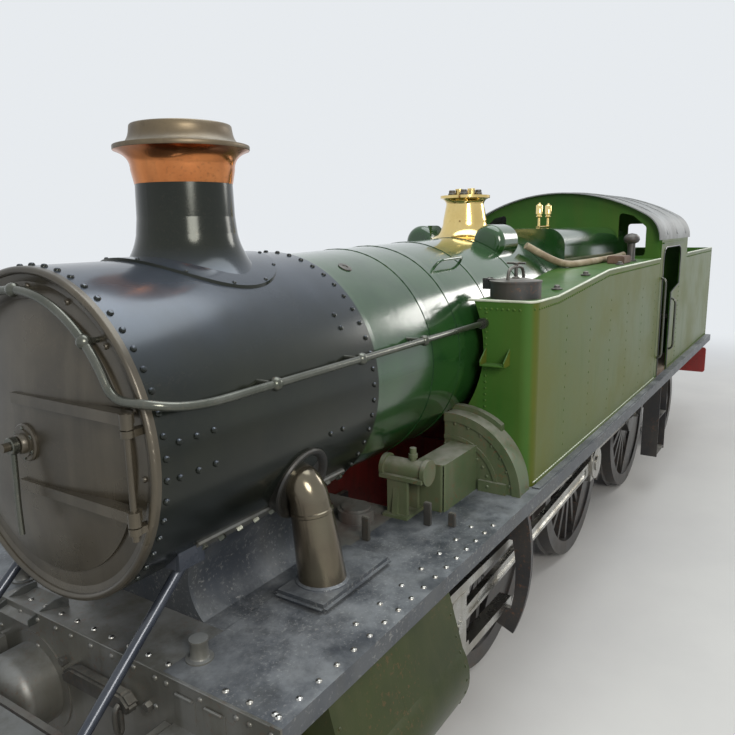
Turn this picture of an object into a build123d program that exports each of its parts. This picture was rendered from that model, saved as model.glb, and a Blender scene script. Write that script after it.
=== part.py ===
from build123d import *
from math import atan2, cos, degrees, pi, radians, sin, sqrt
import os

# A standard-gauge side-tank steam locomotive with a 2-6-2 wheel arrangement.
# Drawing frame: X forward from the chimney centre line, Y to the locomotive's left, Z up from the rail top.
# Everything is moved into the part frame when it is written: origin under the middle, at the lowest flange.

# Running gear, all in millimetres
BACK_TO_BACK = 1366
TYRE_WIDTH = 140
FLANGE_DEPTH = 28
FLANGE_WIDTH = 30
AXLE_R = 95
SMALL_AXLE_R = 75
COUPLED_DIA = 1727
PONY_DIA = 965
RADIAL_DIA = 1118
PONY_X = 627
LEADING_X = -2040
DRIVING_X = -4250
TRAILING_X = -6536
RADIAL_X = -9050
CRANK_RADIUS = 381
CRANK_PIN_R = 55
CRANK_ANGLE = 36
CRANK_LEAD = 90

# Overall length over the buffer faces
BUFFER_LENGTH = 450
FRONT_BEAM_X = 1400
REAR_BEAM_X = -10200
BUFFER_Z = 1060
BUFFER_Y = 865
BUFFER_HEAD_R = 228
BEAM_T = 30
BEAM_HALF_WIDTH = 1215
BEAM_TOP_Z = 1270
BEAM_BOTTOM_Z = 850

# Frames and running plate
FRAME_INNER_Y = 610
FRAME_T = 32
FRAME_DEEP_Z = 560
FRAME_SHALLOW_Z = 1180
FRAME_FRONT_Z = 1040
PLATE_Z = 1500
PLATE_T = 12
PLATE_HALF_WIDTH = 1265
PLATE_FRONT_X = 857
PLATE_REAR_X = -10180
VALANCE_T = 12
VALANCE_DEPTH = 85
PLATE_WHEEL_Y = 862

# Cylinders and motion
CYLINDER_Y = 1080
CYLINDER_Z = 927
CLADDING_R = 305
CYLINDER_FRONT_X = 560
COVER_R = 262
COVER_T = 45
GLAND_R = 78
GLAND_LENGTH = 90
PISTON_ROD_R = 40
ROD_LENGTH = 3000
SLIPPER_LENGTH = 280
SLIDE_CLEARANCE = 54
BAR_GAP = 200
BAR_DEPTH = 60
BAR_WIDTH = 90
BAR_OVERRUN = 29
BRACKET_INSET = 50
BRACKET_T = 40
RUNNING_FIT = 6
PIN_FIT = 0.3
SEAT = 0.3

# Smokebox, boiler and chimney
BOILER_Z = 2450
SMOKEBOX_R = 745
SMOKEBOX_FRONT_X = 914
SMOKEBOX_REAR_X = -665
SMOKEBOX_T = 14
DOOR_R = 610
DOOR_DISH = 70
DOOR_T = 14
HINGE_Y = 665
HINGE_X = 975
HINGE_PIN_R = 14
CHIMNEY_R = 252
CHIMNEY_TOP_Z = 3850
CHIMNEY_CAP_SHARE = 0.4427
CHIMNEY_LIP_R = 340
CHIMNEY_BORE_R = 178
BARREL_FRONT_R = 722
BARREL_REAR_R = 790
BARREL_REAR_X = -4050
BARREL_RISE = 20
FIREBOX_REAR_X = -6450
FIREBOX_HALF_WIDTH = 700
FIREBOX_TOP_Z = 3295
FIREBOX_FOOT_Z = 1180
FIREBOX_CORNER_R = 170
VALVE_X = -3330
VALVE_BASE_R = 335
VALVE_BODY_R = 168
VALVE_LIP_R = 222

# Tanks, cab and bunker
BODY_HALF_WIDTH = 1190
TANK_FRONT_X = -1930
TANK_FRONT_Z = 2820
TANK_TOP_Z = 2930
TANK_SLOPE_START_X = -2420
TANK_SLOPE_END_X = -3800
TANK_STEP_Z = 1955
TANK_INNER_Y = 872
TANK_BOILER_GAP = 30
TANK_CORNER_R = 100
CAB_FRONT_X = -6030
CAB_REAR_X = -7750
SHEET_T = 12
DOORWAY_FRONT_X = -6190
DOORWAY_REAR_X = -6780
ROOF_R = 2045
ROOF_CORNER_R = 330
ROOF_TOP_Z = 3710
EAVE_Z = 3140
ROOF_T = 12
ROOF_FRONT_X = -5930
ROOF_REAR_X = -7900
CAB_FLOOR_T = 45
WHEEL_COVER_Z = 1810
COVER_SHEET_T = 6
COVER_INNER_Y = 655
BUNKER_REAR_X = -10130
BUNKER_TOP_Z = 2930
BUNKER_FLOOR_Z = 1900

# Where the drawing frame sits in the part frame
OVERALL_LENGTH = FRONT_BEAM_X - REAR_BEAM_X + 2 * BUFFER_LENGTH
SHIFT_X = OVERALL_LENGTH / 2 - FRONT_BEAM_X - BUFFER_LENGTH
SHIFT_Z = FLANGE_DEPTH

LEFT = 1
RIGHT = -1
ENDS = (("front", FRONT_BEAM_X, 1), ("rear", REAR_BEAM_X, -1))
TYRE_INNER_Y = BACK_TO_BACK / 2
TYRE_OUTER_Y = TYRE_INNER_Y + TYRE_WIDTH
AXLE_Z = COUPLED_DIA / 2
FRAME_OUTER_Y = FRAME_INNER_Y + FRAME_T
PLATE_UNDER_Z = PLATE_Z - PLATE_T
PLATE_INNER_Y = FRAME_INNER_Y
FRAME_TOP_Z = PLATE_UNDER_Z
VALANCE_INNER_Y = PLATE_HALF_WIDTH - VALANCE_T
CAB_FLOOR_Z = PLATE_Z
STROKE_MIDDLE_X = DRIVING_X + ROD_LENGTH
STROKE_FRONT_X = STROKE_MIDDLE_X + CRANK_RADIUS
CYLINDER_REAR_X = STROKE_FRONT_X + SLIPPER_LENGTH / 2 + SLIDE_CLEARANCE + GLAND_LENGTH + COVER_T
BAR_REAR_X = STROKE_MIDDLE_X - CRANK_RADIUS - SLIPPER_LENGTH / 2 - BAR_OVERRUN
BRACKET_X = BAR_REAR_X + BRACKET_INSET
FIREBOX_FOOT_HALF_WIDTH = FRAME_INNER_Y
SMOKEBOX_CROWN_Z = BOILER_Z + SMOKEBOX_R
CHIMNEY_CAP_HEIGHT = (CHIMNEY_TOP_Z - SMOKEBOX_CROWN_Z) * CHIMNEY_CAP_SHARE
CHIMNEY_CAP_Z = CHIMNEY_TOP_Z - CHIMNEY_CAP_HEIGHT


def block(x0, x1, y0, y1, z0, z1):
    """Box between two corners."""
    size = Box(abs(x1 - x0), abs(y1 - y0), abs(z1 - z0))
    return Pos((x0 + x1) / 2, (y0 + y1) / 2, (z0 + z1) / 2) * size


def bar_x(y, z, radius, x0, x1):
    """Round bar along the length of the locomotive."""
    return Pos((x0 + x1) / 2, y, z) * Rot(0, 90, 0) * Cylinder(radius, abs(x1 - x0))


def bar_y(x, z, radius, y0, y1):
    """Round bar across the locomotive."""
    return Pos(x, (y0 + y1) / 2, z) * Rot(90, 0, 0) * Cylinder(radius, abs(y1 - y0))


def bar_z(x, y, radius, z0, z1):
    """Upright round bar."""
    return Pos(x, y, (z0 + z1) / 2) * Cylinder(radius, abs(z1 - z0))


def side_plane(y):
    """Plane seen from the locomotive's right, with its own X forward and Y up."""
    return Plane(origin=(0, y, 0), x_dir=(1, 0, 0), z_dir=(0, -1, 0))


def side_plate(outline, y0, y1):
    """Plate cut to an outline of (x, z) points."""
    face = side_plane(y0) * make_face(Polyline(*outline, close=True))
    return extrude(face, amount=y1 - y0, dir=(0, 1, 0))


def cross_plane(x):
    """Plane across the locomotive, with its own X to the left and Y up."""
    return Plane(origin=(x, 0, 0), x_dir=(0, 1, 0), z_dir=(1, 0, 0))


def cross_plate(sketch, x0, x1):
    """Solid with one (y, z) section between two stations."""
    return extrude(cross_plane(x0) * sketch, amount=x1 - x0, dir=(1, 0, 0))


def outline_face(*points):
    """Face inside a closed run of straight lines."""
    return make_face(Polyline(*points, close=True))


def handed(shape, side):
    """The piece as drawn for the left, or its mirror image for the right."""
    return shape if side == LEFT else mirror(shape, about=Plane.XZ)


def both(shape):
    """A left piece and its mirror image, as separate solids."""
    return [shape, mirror(shape, about=Plane.XZ)]


def save(name, pieces):
    """Write one node, moved into the part frame."""
    pieces = pieces if isinstance(pieces, list) else [pieces]
    solids = [solid for piece in pieces for solid in piece.solids()]
    placed = [Pos(SHIFT_X, 0, SHIFT_Z) * solid for solid in solids]
    export_step(placed[0] if len(placed) == 1 else Compound(children=placed), f"parts/{name}.step")


# Wheels

SPOKE_WIDTH_HUB = 66
SPOKE_WIDTH_RIM = 48
SPOKE_T = 58
TYRE_T = 76
RIM_T = 62
HUB_INNER_Y = TYRE_INNER_Y - 15
HUB_OUTER_Y = TYRE_OUTER_Y + 40
HUB_R = 165
COUPLED_SPOKES = 18
PONY_SPOKES = 10
RADIAL_SPOKES = 12
SMALL_HUB_R = 120
SMALL_HUB_OUTER_Y = TYRE_OUTER_Y + 12


def wheel_disc(dia, hub_r, hub_end_y, spokes):
    """One wheel on the left of its axle: coned and flanged tyre, rim, spokes and hub."""
    tread = dia / 2
    rim_r = tread - TYRE_T - RIM_T
    cone = TYRE_WIDTH / 40
    flange = tread + FLANGE_DEPTH
    profile = outline_face(
        (rim_r, TYRE_INNER_Y),
        (flange - FLANGE_WIDTH / 4, TYRE_INNER_Y),
        (flange, TYRE_INNER_Y + FLANGE_WIDTH / 4),
        (flange, TYRE_INNER_Y + FLANGE_WIDTH / 2),
        (tread + cone, TYRE_INNER_Y + FLANGE_WIDTH),
        (tread - cone, TYRE_OUTER_Y),
        (rim_r, TYRE_OUTER_Y),
    )
    wheel = revolve(profile, Axis.Y)
    middle_y = (TYRE_INNER_Y + TYRE_OUTER_Y) / 2
    spoke = side_plate(
        [
            (hub_r * 0.9, -SPOKE_WIDTH_HUB / 2),
            (rim_r + RIM_T / 4, -SPOKE_WIDTH_RIM / 2),
            (rim_r + RIM_T / 4, SPOKE_WIDTH_RIM / 2),
            (hub_r * 0.9, SPOKE_WIDTH_HUB / 2),
        ],
        middle_y - SPOKE_T / 2,
        middle_y + SPOKE_T / 2,
    )
    wheel += [Rot(0, 360 * turn / spokes, 0) * spoke for turn in range(spokes)]
    return wheel + bar_y(0, 0, hub_r, HUB_INNER_Y, hub_end_y)


LIGHT_WEIGHT_DEPTH = 210
HEAVY_WEIGHT_DEPTH = 330


def balance_weight(dia, depth):
    """Crescent between the rim and a chord, opposite the crank."""
    rim_r = dia / 2 - TYRE_T - RIM_T / 2
    disc = Circle(rim_r)
    cutter = Pos(rim_r - depth, 0) * Rectangle(2 * rim_r, 2 * rim_r)
    crescent = disc - Pos(-depth / 2, 0) * cutter
    face = side_plane(TYRE_INNER_Y + 25) * crescent
    return extrude(face, amount=TYRE_WIDTH - 45, dir=(0, 1, 0))


CRANK_BOSS_R = 120
CRANK_COLLAR_R = 78
ROD_INNER_Y = 935
ROD_OUTER_Y = 1000
PIN_CAP_R = 74
PIN_CAP_T = 18
SIDE_GAP = 5
PIN_SEAT = 10


BOSS_INNER_Y = TYRE_OUTER_Y - 60
BOSS_OUTER_Y = TYRE_OUTER_Y + 35
CAP_END_Y = ROD_OUTER_Y + SIDE_GAP + PIN_CAP_T


def crank_web():
    """Boss between the hub and the crank pin, drawn with the pin on the +X side."""
    web = make_hull([*Circle(HUB_R).edges(), *(Pos(CRANK_RADIUS, 0) * Circle(CRANK_BOSS_R)).edges()])
    return extrude(side_plane(BOSS_INNER_Y) * web, amount=BOSS_OUTER_Y - BOSS_INNER_Y, dir=(0, 1, 0))


def crank_pin(end_y):
    """Pin in its boss, with the collar inside the coupling rod and the cap outside it."""
    pin = bar_y(CRANK_RADIUS, 0, CRANK_PIN_R, BOSS_INNER_Y + PIN_SEAT, end_y)
    pin += bar_y(CRANK_RADIUS, 0, CRANK_COLLAR_R, BOSS_OUTER_Y + PIN_FIT, ROD_INNER_Y - SIDE_GAP)
    return pin + bar_y(CRANK_RADIUS, 0, PIN_CAP_R, ROD_OUTER_Y + SIDE_GAP, CAP_END_Y)


def coupled_wheelset(x, weight_depth, pin_end_y):
    """Two spoked wheels with their cranks a quarter turn apart, their pins and the axle."""
    wheel = wheel_disc(COUPLED_DIA, HUB_R, HUB_OUTER_Y, COUPLED_SPOKES) + crank_web()
    wheel += balance_weight(COUPLED_DIA, weight_depth)
    wheel -= bar_y(0, 0, AXLE_R + PIN_FIT, 0, 2 * HUB_OUTER_Y)
    wheel -= bar_y(CRANK_RADIUS, 0, CRANK_PIN_R + PIN_FIT, BOSS_INNER_Y + PIN_SEAT - PIN_FIT, 2 * HUB_OUTER_Y)
    pieces = [bar_y(0, 0, AXLE_R, -HUB_OUTER_Y, HUB_OUTER_Y)]
    for piece in (wheel, crank_pin(pin_end_y)):
        pieces.append(Rot(0, -CRANK_ANGLE, 0) * piece)
        pieces.append(Rot(0, -CRANK_ANGLE + CRANK_LEAD, 0) * mirror(piece, about=Plane.XZ))
    return [Pos(x, 0, AXLE_Z) * piece for piece in pieces]


def carrying_wheelset(x, dia, spokes):
    """Two small spoked wheels on their axle."""
    wheel = wheel_disc(dia, SMALL_HUB_R, SMALL_HUB_OUTER_Y, spokes)
    wheel -= bar_y(0, 0, SMALL_AXLE_R + PIN_FIT, 0, 2 * HUB_OUTER_Y)
    axle = bar_y(0, 0, SMALL_AXLE_R, -SMALL_HUB_OUTER_Y, SMALL_HUB_OUTER_Y)
    return [Pos(x, 0, dia / 2) * piece for piece in both(wheel) + [axle]]


def pin_place(x, side):
    """Where the crank pin of an axle stands at rest, as (x, z)."""
    angle = radians(CRANK_ANGLE - (0 if side == LEFT else CRANK_LEAD))
    return x + CRANK_RADIUS * cos(angle), AXLE_Z + CRANK_RADIUS * sin(angle)


# Rods and crossheads

ROD_EYE_R = 105
ROD_DEPTH = 110
ROD_WEB_T = 40
CON_INNER_Y = CYLINDER_Y - BAR_WIDTH / 2
CON_OUTER_Y = CYLINDER_Y + BAR_WIDTH / 2
CON_BEAM_T = 44
CON_BIG_R = 150
CON_SMALL_R = 85
CON_SMALL_T = 50
GUDGEON_R = 38
CHEEK_T = 20
CHEEK_GAP = 5
GUDGEON_END = 12
BOSS_END_X = 170
PISTON_ROD_END_X = 1000
SLIPPER_T = 38


def coupling_rod(side):
    """Fluted rod that joins the three crank pins of one side."""
    axles = [LEADING_X, DRIVING_X, TRAILING_X]
    pins = [pin_place(x, side) for x in axles]
    middle_y = (ROD_INNER_Y + ROD_OUTER_Y) / 2
    z = pins[0][1]
    rod = block(
        pins[2][0], pins[0][0], middle_y - ROD_WEB_T / 2, middle_y + ROD_WEB_T / 2,
        z - ROD_DEPTH / 2, z + ROD_DEPTH / 2,
    )
    for ahead, behind in ((pins[0], pins[1]), (pins[1], pins[2])):
        flute = block(
            behind[0] + 2 * ROD_EYE_R, ahead[0] - 2 * ROD_EYE_R,
            middle_y + ROD_WEB_T / 4, middle_y + ROD_WEB_T, z - ROD_DEPTH / 4, z + ROD_DEPTH / 4,
        )
        rod -= flute
    for x, pin_z in pins:
        rod += bar_y(x, pin_z, ROD_EYE_R, ROD_INNER_Y, ROD_OUTER_Y)
        rod += block(x - 35, x + 35, ROD_INNER_Y + 10, ROD_OUTER_Y - 10, pin_z, pin_z + ROD_EYE_R + 40)
    for x, pin_z in pins:
        rod -= bar_y(x, pin_z, CRANK_PIN_R + PIN_FIT, ROD_INNER_Y - 5, ROD_OUTER_Y + 5)
    return handed(rod, side)


def gudgeon_x(side):
    """Where the crosshead pin stands along the locomotive at rest."""
    pin_x, pin_z = pin_place(DRIVING_X, side)
    return pin_x + sqrt(ROD_LENGTH**2 - (pin_z - CYLINDER_Z) ** 2)


def connecting_rod(side):
    """Tapered fluted rod from the crosshead to the driving crank."""
    half = CON_BEAM_T / 2
    beam = side_plate(
        [(0, -46), (-ROD_LENGTH, -64), (-ROD_LENGTH, 64), (0, 46)], CYLINDER_Y - half, CYLINDER_Y + half
    )
    flute = side_plate(
        [(-180, -24), (-ROD_LENGTH + 260, -34), (-ROD_LENGTH + 260, 34), (-180, 24)],
        CYLINDER_Y + half / 2, CYLINDER_Y + CON_BEAM_T,
    )
    small = bar_y(0, 0, CON_SMALL_R, CYLINDER_Y - CON_SMALL_T / 2, CYLINDER_Y + CON_SMALL_T / 2)
    big = bar_y(-ROD_LENGTH, 0, CON_BIG_R, CON_INNER_Y, CON_OUTER_Y)
    strap_half = CON_BIG_R - 18
    strap = block(
        -ROD_LENGTH - 110, -ROD_LENGTH + 170, CON_INNER_Y + 8, CON_OUTER_Y - 8, -strap_half, strap_half
    )
    oil_cup = bar_z(-ROD_LENGTH, CYLINDER_Y, 30, 0, CON_BIG_R + 38)
    washer = bar_y(-ROD_LENGTH, 0, PIN_CAP_R, CON_OUTER_Y - 5, CON_OUTER_Y + 14)
    rod = beam - flute + small + big + strap + oil_cup + washer
    rod -= bar_y(0, 0, GUDGEON_R + PIN_FIT, CYLINDER_Y - CON_SMALL_T, CYLINDER_Y + CON_SMALL_T)
    pin_x, pin_z = pin_place(DRIVING_X, side)
    lift = degrees(atan2(pin_z - CYLINDER_Z, gudgeon_x(side) - pin_x))
    placed = Pos(gudgeon_x(side), 0, CYLINDER_Z) * Rot(0, lift, 0) * rod
    return handed(placed, side)


def crosshead(side):
    """Cheeks, slippers and pin of the crosshead, with the piston rod."""
    cheek_inner = CON_SMALL_T / 2 + CHEEK_GAP
    half = SLIPPER_LENGTH / 2
    reach = BAR_GAP - 0.5
    head = Part() + [
        block(-half, half, CON_INNER_Y, CON_OUTER_Y, z0, z1)
        for z0, z1 in ((reach - SLIPPER_T, reach), (-reach, -reach + SLIPPER_T))
    ]
    cheek_outline = [(-90, -reach), (90, -reach), (150, -70), (150, 70), (90, reach), (-90, reach)]
    for y0 in (CYLINDER_Y - cheek_inner - CHEEK_T, CYLINDER_Y + cheek_inner):
        head += side_plate(cheek_outline, y0, y0 + CHEEK_T)
    boss_x = CON_SMALL_R + CHEEK_GAP + 9
    head += bar_x(CYLINDER_Y, 0, 64, boss_x, BOSS_END_X)
    head += bar_x(CYLINDER_Y, 0, PISTON_ROD_R, boss_x, PISTON_ROD_END_X)
    pin_end = CYLINDER_Y + cheek_inner + CHEEK_T + GUDGEON_END
    head += bar_y(0, 0, GUDGEON_R, CYLINDER_Y - cheek_inner - CHEEK_T, pin_end)
    return handed(Pos(gudgeon_x(side), 0, CYLINDER_Z) * head, side)


# Cylinders, slide bars and their brackets

ROD_TUNNEL_END_X = STROKE_FRONT_X + PISTON_ROD_END_X + 19
PONY_POCKET_Y = 888
PONY_POCKET_Z = 1030
POCKET_CLEARANCE = 45
CHEST_INNER_Y = FRAME_OUTER_Y + 150
COVER_STEP_T = 22
COVER_LAP = 5


def cylinder():
    """Clad cylinder with its covers and gland, in two castings that meet behind the pony wheel."""
    shoulder = outline_face(
        (CHEST_INNER_Y, CYLINDER_Z),
        (CHEST_INNER_Y, PLATE_UNDER_Z),
        (VALANCE_INNER_Y - 1, PLATE_UNDER_Z),
        (VALANCE_INNER_Y - 1, PLATE_UNDER_Z - VALANCE_DEPTH),
        (CYLINDER_Y + CLADDING_R, CYLINDER_Z),
    )
    section = shoulder + Pos(CYLINDER_Y, CYLINDER_Z) * Circle(CLADDING_R)
    body = cross_plate(section, CYLINDER_REAR_X, CYLINDER_FRONT_X)
    front = CYLINDER_FRONT_X
    body += bar_x(CYLINDER_Y, CYLINDER_Z, COVER_R, front - COVER_LAP, front + COVER_T)
    body += bar_x(CYLINDER_Y, CYLINDER_Z, COVER_R * 0.55, front, front + COVER_T + COVER_STEP_T)
    body += bar_x(CYLINDER_Y, CYLINDER_Z, COVER_R, CYLINDER_REAR_X - COVER_T, CYLINDER_REAR_X + COVER_LAP)
    gland_end = CYLINDER_REAR_X - COVER_T - GLAND_LENGTH
    body += bar_x(CYLINDER_Y, CYLINDER_Z, GLAND_R, gland_end, CYLINDER_REAR_X)
    body -= bar_x(CYLINDER_Y, CYLINDER_Z, PISTON_ROD_R + RUNNING_FIT, gland_end - COVER_LAP, ROD_TUNNEL_END_X)
    pocket_x = PONY_X - PONY_DIA / 2 - FLANGE_DEPTH - POCKET_CLEARANCE
    ahead = block(pocket_x, front + PONY_DIA, 0, 2 * CYLINDER_Y, 0, 2 * CYLINDER_Z)
    inner = block(pocket_x - PIN_FIT, front + PONY_DIA, 0, PONY_POCKET_Y, 0, 2 * CYLINDER_Z)
    behind = body - ahead - block(pocket_x - PIN_FIT, pocket_x, 0, 2 * CYLINDER_Y, 0, 2 * CYLINDER_Z)
    return [(body & ahead) - inner, behind]


def slide_bars():
    """Upper and lower bars from the back cover to the motion bracket."""
    front_x = CYLINDER_REAR_X - COVER_T - SEAT
    bars = []
    for z0 in (CYLINDER_Z + BAR_GAP, CYLINDER_Z - BAR_GAP - BAR_DEPTH):
        bar = block(BAR_REAR_X, front_x, CON_INNER_Y, CON_OUTER_Y, z0, z0 + BAR_DEPTH)
        bars.append(bar)
    return bars


def motion_bracket():
    """C-shaped bracket under the plate that carries the rear ends of the bars."""
    outer_y = PLATE_HALF_WIDTH + 12
    web_y = CYLINDER_Y + CON_SMALL_T / 2 + CHEEK_GAP + CHEEK_T + GUDGEON_END + 8
    inner_y = ROD_OUTER_Y + SIDE_GAP + PIN_CAP_T + 5
    top_bar = CYLINDER_Z + BAR_GAP + BAR_DEPTH
    low_bar = CYLINDER_Z - BAR_GAP - BAR_DEPTH
    outline = make_face(
        Polyline(
            (inner_y, top_bar), (inner_y, PLATE_UNDER_Z), (VALANCE_INNER_Y - 1, PLATE_UNDER_Z),
            (VALANCE_INNER_Y - 1, PLATE_UNDER_Z - VALANCE_DEPTH - 20),
        )
        + ThreePointArc(
            (VALANCE_INNER_Y - 1, PLATE_UNDER_Z - VALANCE_DEPTH - 20),
            (outer_y, CYLINDER_Z - 40),
            (CYLINDER_Y + 90, low_bar - 190),
        )
        + Polyline(
            (CYLINDER_Y + 90, low_bar - 190), (inner_y, low_bar - 130), (inner_y, low_bar),
            (web_y, low_bar),
        )
        + ThreePointArc((web_y, low_bar), (web_y + 28, CYLINDER_Z), (web_y, top_bar))
        + Line((web_y, top_bar), (inner_y, top_bar))
    )
    return cross_plate(outline, BRACKET_X - BRACKET_T / 2, BRACKET_X + BRACKET_T / 2)


# Frames, beams, buffers and plates

AXLEBOX_WIDTH = 300
AXLEBOX_TOP = 190
AXLEBOX_BOTTOM = 170
AXLEBOX_INNER_Y = 560
AXLEBOX_OUTER_Y = 668
HORN_STAY_T = 40


def main_frame():
    """Left frame plate with horn gaps, and the shallow plate over the trailing truck."""
    joint_x = RADIAL_X + 850
    outline = [
        (FRONT_BEAM_X - BEAM_T, BEAM_TOP_Z),
        (PLATE_FRONT_X, BEAM_TOP_Z),
        (PLATE_FRONT_X, FRAME_TOP_Z),
        (joint_x + SEAT, FRAME_TOP_Z),
        (joint_x + SEAT, FRAME_SHALLOW_Z),
        (RADIAL_X + 1250, FRAME_DEEP_Z),
        (LEADING_X + 780, FRAME_DEEP_Z),
        (LEADING_X + 1500, FRAME_FRONT_Z),
        (FRONT_BEAM_X - BEAM_T, FRAME_FRONT_Z),
    ]
    plate = side_plate(outline, FRAME_INNER_Y, FRAME_OUTER_Y)
    for x in (LEADING_X, DRIVING_X, TRAILING_X):
        plate -= block(
            x - AXLEBOX_WIDTH / 2, x + AXLEBOX_WIDTH / 2, FRAME_INNER_Y - 5, FRAME_OUTER_Y + 5,
            FRAME_DEEP_Z - 5, AXLE_Z + AXLEBOX_TOP,
        )
    rear_plate = block(
        REAR_BEAM_X + BEAM_T, joint_x, FRAME_INNER_Y, FRAME_OUTER_Y, FRAME_SHALLOW_Z, FRAME_TOP_Z,
    )
    return plate + rear_plate


def axleboxes():
    """Boxes in the horn gaps, with the stays that close the gaps below them."""
    boxes = []
    for x in (LEADING_X, DRIVING_X, TRAILING_X):
        box = block(
            x - AXLEBOX_WIDTH / 2, x + AXLEBOX_WIDTH / 2, AXLEBOX_INNER_Y, AXLEBOX_OUTER_Y,
            AXLE_Z - AXLEBOX_BOTTOM, AXLE_Z + AXLEBOX_TOP,
        )
        box -= bar_y(x, AXLE_Z, AXLE_R + PIN_FIT, AXLEBOX_INNER_Y - 5, AXLEBOX_OUTER_Y + 5)
        stay = block(
            x - AXLEBOX_WIDTH / 2 - 70, x + AXLEBOX_WIDTH / 2 + 70, AXLEBOX_INNER_Y + 20,
            AXLEBOX_OUTER_Y - 10, FRAME_DEEP_Z - HORN_STAY_T, FRAME_DEEP_Z,
        )
        boxes += both(box) + both(stay)
    return boxes


SPRING_LEAVES = 7
SPRING_LEAF_T = 15
SPRING_HALF_LENGTH = 480
SPRING_WIDTH = 100
SPRING_DROP = 30
BUCKLE_WIDTH = 90
BUCKLE_T = 8
BUCKLE_DEPTH = 125
HANGER_INSET = 20


def leaf_springs():
    """Laminated springs hung below the coupled axleboxes."""
    springs = []
    for x in (LEADING_X, DRIVING_X, TRAILING_X):
        top_z = FRAME_DEEP_Z - HORN_STAY_T - SPRING_DROP
        y0 = (AXLEBOX_INNER_Y + AXLEBOX_OUTER_Y) / 2 - SPRING_WIDTH / 2
        outline = [(SPRING_HALF_LENGTH, top_z), (SPRING_HALF_LENGTH, top_z - SPRING_LEAF_T)]
        for leaf in range(1, SPRING_LEAVES):
            reach = SPRING_HALF_LENGTH * (1 - leaf / SPRING_LEAVES)
            outline += [
                (reach, top_z - leaf * SPRING_LEAF_T),
                (reach, top_z - (leaf + 1) * SPRING_LEAF_T),
            ]
        outline += [(-px, pz) for px, pz in reversed(outline)]
        shifted = [(x + px, pz) for px, pz in outline]
        spring = side_plate(shifted, y0, y0 + SPRING_WIDTH)
        spring += block(
            x - BUCKLE_WIDTH / 2, x + BUCKLE_WIDTH / 2, y0 - BUCKLE_T, y0 + SPRING_WIDTH + BUCKLE_T,
            top_z - BUCKLE_DEPTH, FRAME_DEEP_Z - HORN_STAY_T,
        )
        for end in (-1, 1):
            hanger_x = x + end * (SPRING_HALF_LENGTH - HANGER_INSET)
            spring += block(
                hanger_x - 18, hanger_x + 18, y0 + 25, y0 + SPRING_WIDTH - 25,
                top_z - SPRING_LEAF_T - HANGER_INSET, FRAME_DEEP_Z,
            )
        springs += both(spring)
    return springs


PONY_PIVOT_X = -800
RADIAL_PIVOT_X = -7700
PIVOT_PIN_R = 38
PIVOT_PIN_DROP = 82
EYE_HALF_HEIGHT = 60
SADDLE_HALF_LENGTH = 500
INNER_DECK_REAR_X = -1150
CAP_X = -890
CAP_Y = 415
CAP_R = 118
CAP_HEIGHT = 70

# Cross members between the frames: middle x, thickness, bottom z, top z
STRETCHERS = [
    (1165, 30, 1045, BEAM_TOP_Z),
    (PONY_PIVOT_X, 160, 560, 1400),
    (-2965, 30, 600, 1400),
    (-3725, 150, 900, 1400),
    (RADIAL_PIVOT_X, 260, 720, 1400),
    (-9965, 30, 1190, 1400),
]


def frame_stretchers():
    """Cross members that hold the frames apart, two of them with a truck's pivot pin."""
    members = []
    truck_z = {PONY_PIVOT_X: PONY_DIA / 2, RADIAL_PIVOT_X: RADIAL_DIA / 2}
    for x, thickness, z0, z1 in STRETCHERS:
        member = block(x - thickness / 2, x + thickness / 2, -FRAME_INNER_Y, FRAME_INNER_Y, z0, z1)
        if x in truck_z:
            pin_end = truck_z[x] - PIVOT_PIN_DROP
            member += bar_z(x, 0, PIVOT_PIN_R, pin_end, z0)
            member += bar_z(x, 0, PIVOT_PIN_R + 30, pin_end - 15, pin_end)
        members.append(member)
    deck = block(
        INNER_DECK_REAR_X, -SADDLE_HALF_LENGTH, -FRAME_INNER_Y, FRAME_INNER_Y, PLATE_UNDER_Z, PLATE_Z
    )
    for side in (LEFT, RIGHT):
        for radius, height in ((CAP_R, CAP_HEIGHT), (CAP_R * 0.8, CAP_HEIGHT + 14)):
            deck += bar_z(CAP_X, side * CAP_Y, radius, PLATE_Z, PLATE_Z + height)
    return members + [deck]


HOOK_T = 40


def buffer_beam(face_x, back_x):
    """Rolled steel beam with rounded lower corners and a slot for the draw hook."""
    section = RectangleRounded(2 * BEAM_HALF_WIDTH, BEAM_TOP_Z - BEAM_BOTTOM_Z, 40)
    placed = Pos(0, (BEAM_TOP_Z + BEAM_BOTTOM_Z) / 2) * section
    beam = cross_plate(placed, min(face_x, back_x), max(face_x, back_x))
    return beam - block(face_x - 50, face_x + 50, -HOOK_T / 2, HOOK_T / 2, BUFFER_Z - 40, BUFFER_Z + 40)


def buffers(face_x, direction):
    """Tapered housings, rams and round heads of one end, as two solids."""
    profile = outline_face(
        (0, 0), (185, 0), (185, 28), (125, 60), (105, 250), (105, 262), (62, 262), (62, 395),
        (BUFFER_HEAD_R - 30, 410), (BUFFER_HEAD_R, 420), (BUFFER_HEAD_R, 436),
        (BUFFER_HEAD_R - 20, BUFFER_LENGTH), (0, BUFFER_LENGTH),
    )
    buffer = revolve(profile, Axis.Y)
    turned = Rot(0, 0, -90 * direction) * buffer
    return both(Pos(face_x, BUFFER_Y, BUFFER_Z) * turned)


HOOK_REACH = 240


def draw_hook(face_x, direction):
    """Draw hook in the beam's slot with its shank and a hanging shackle."""
    profile = [
        (-120, -22), (95, -22), (110, -60), (170, -82), (HOOK_REACH, -40), (HOOK_REACH, 50),
        (215, 62), (200, 10), (165, -18), (140, 8), (150, 60), (110, 62), (80, 30), (-120, 30),
    ]
    placed = [(face_x + direction * px, BUFFER_Z + pz) for px, pz in profile]
    return side_plate(placed, -HOOK_T / 2, HOOK_T / 2)


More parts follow.
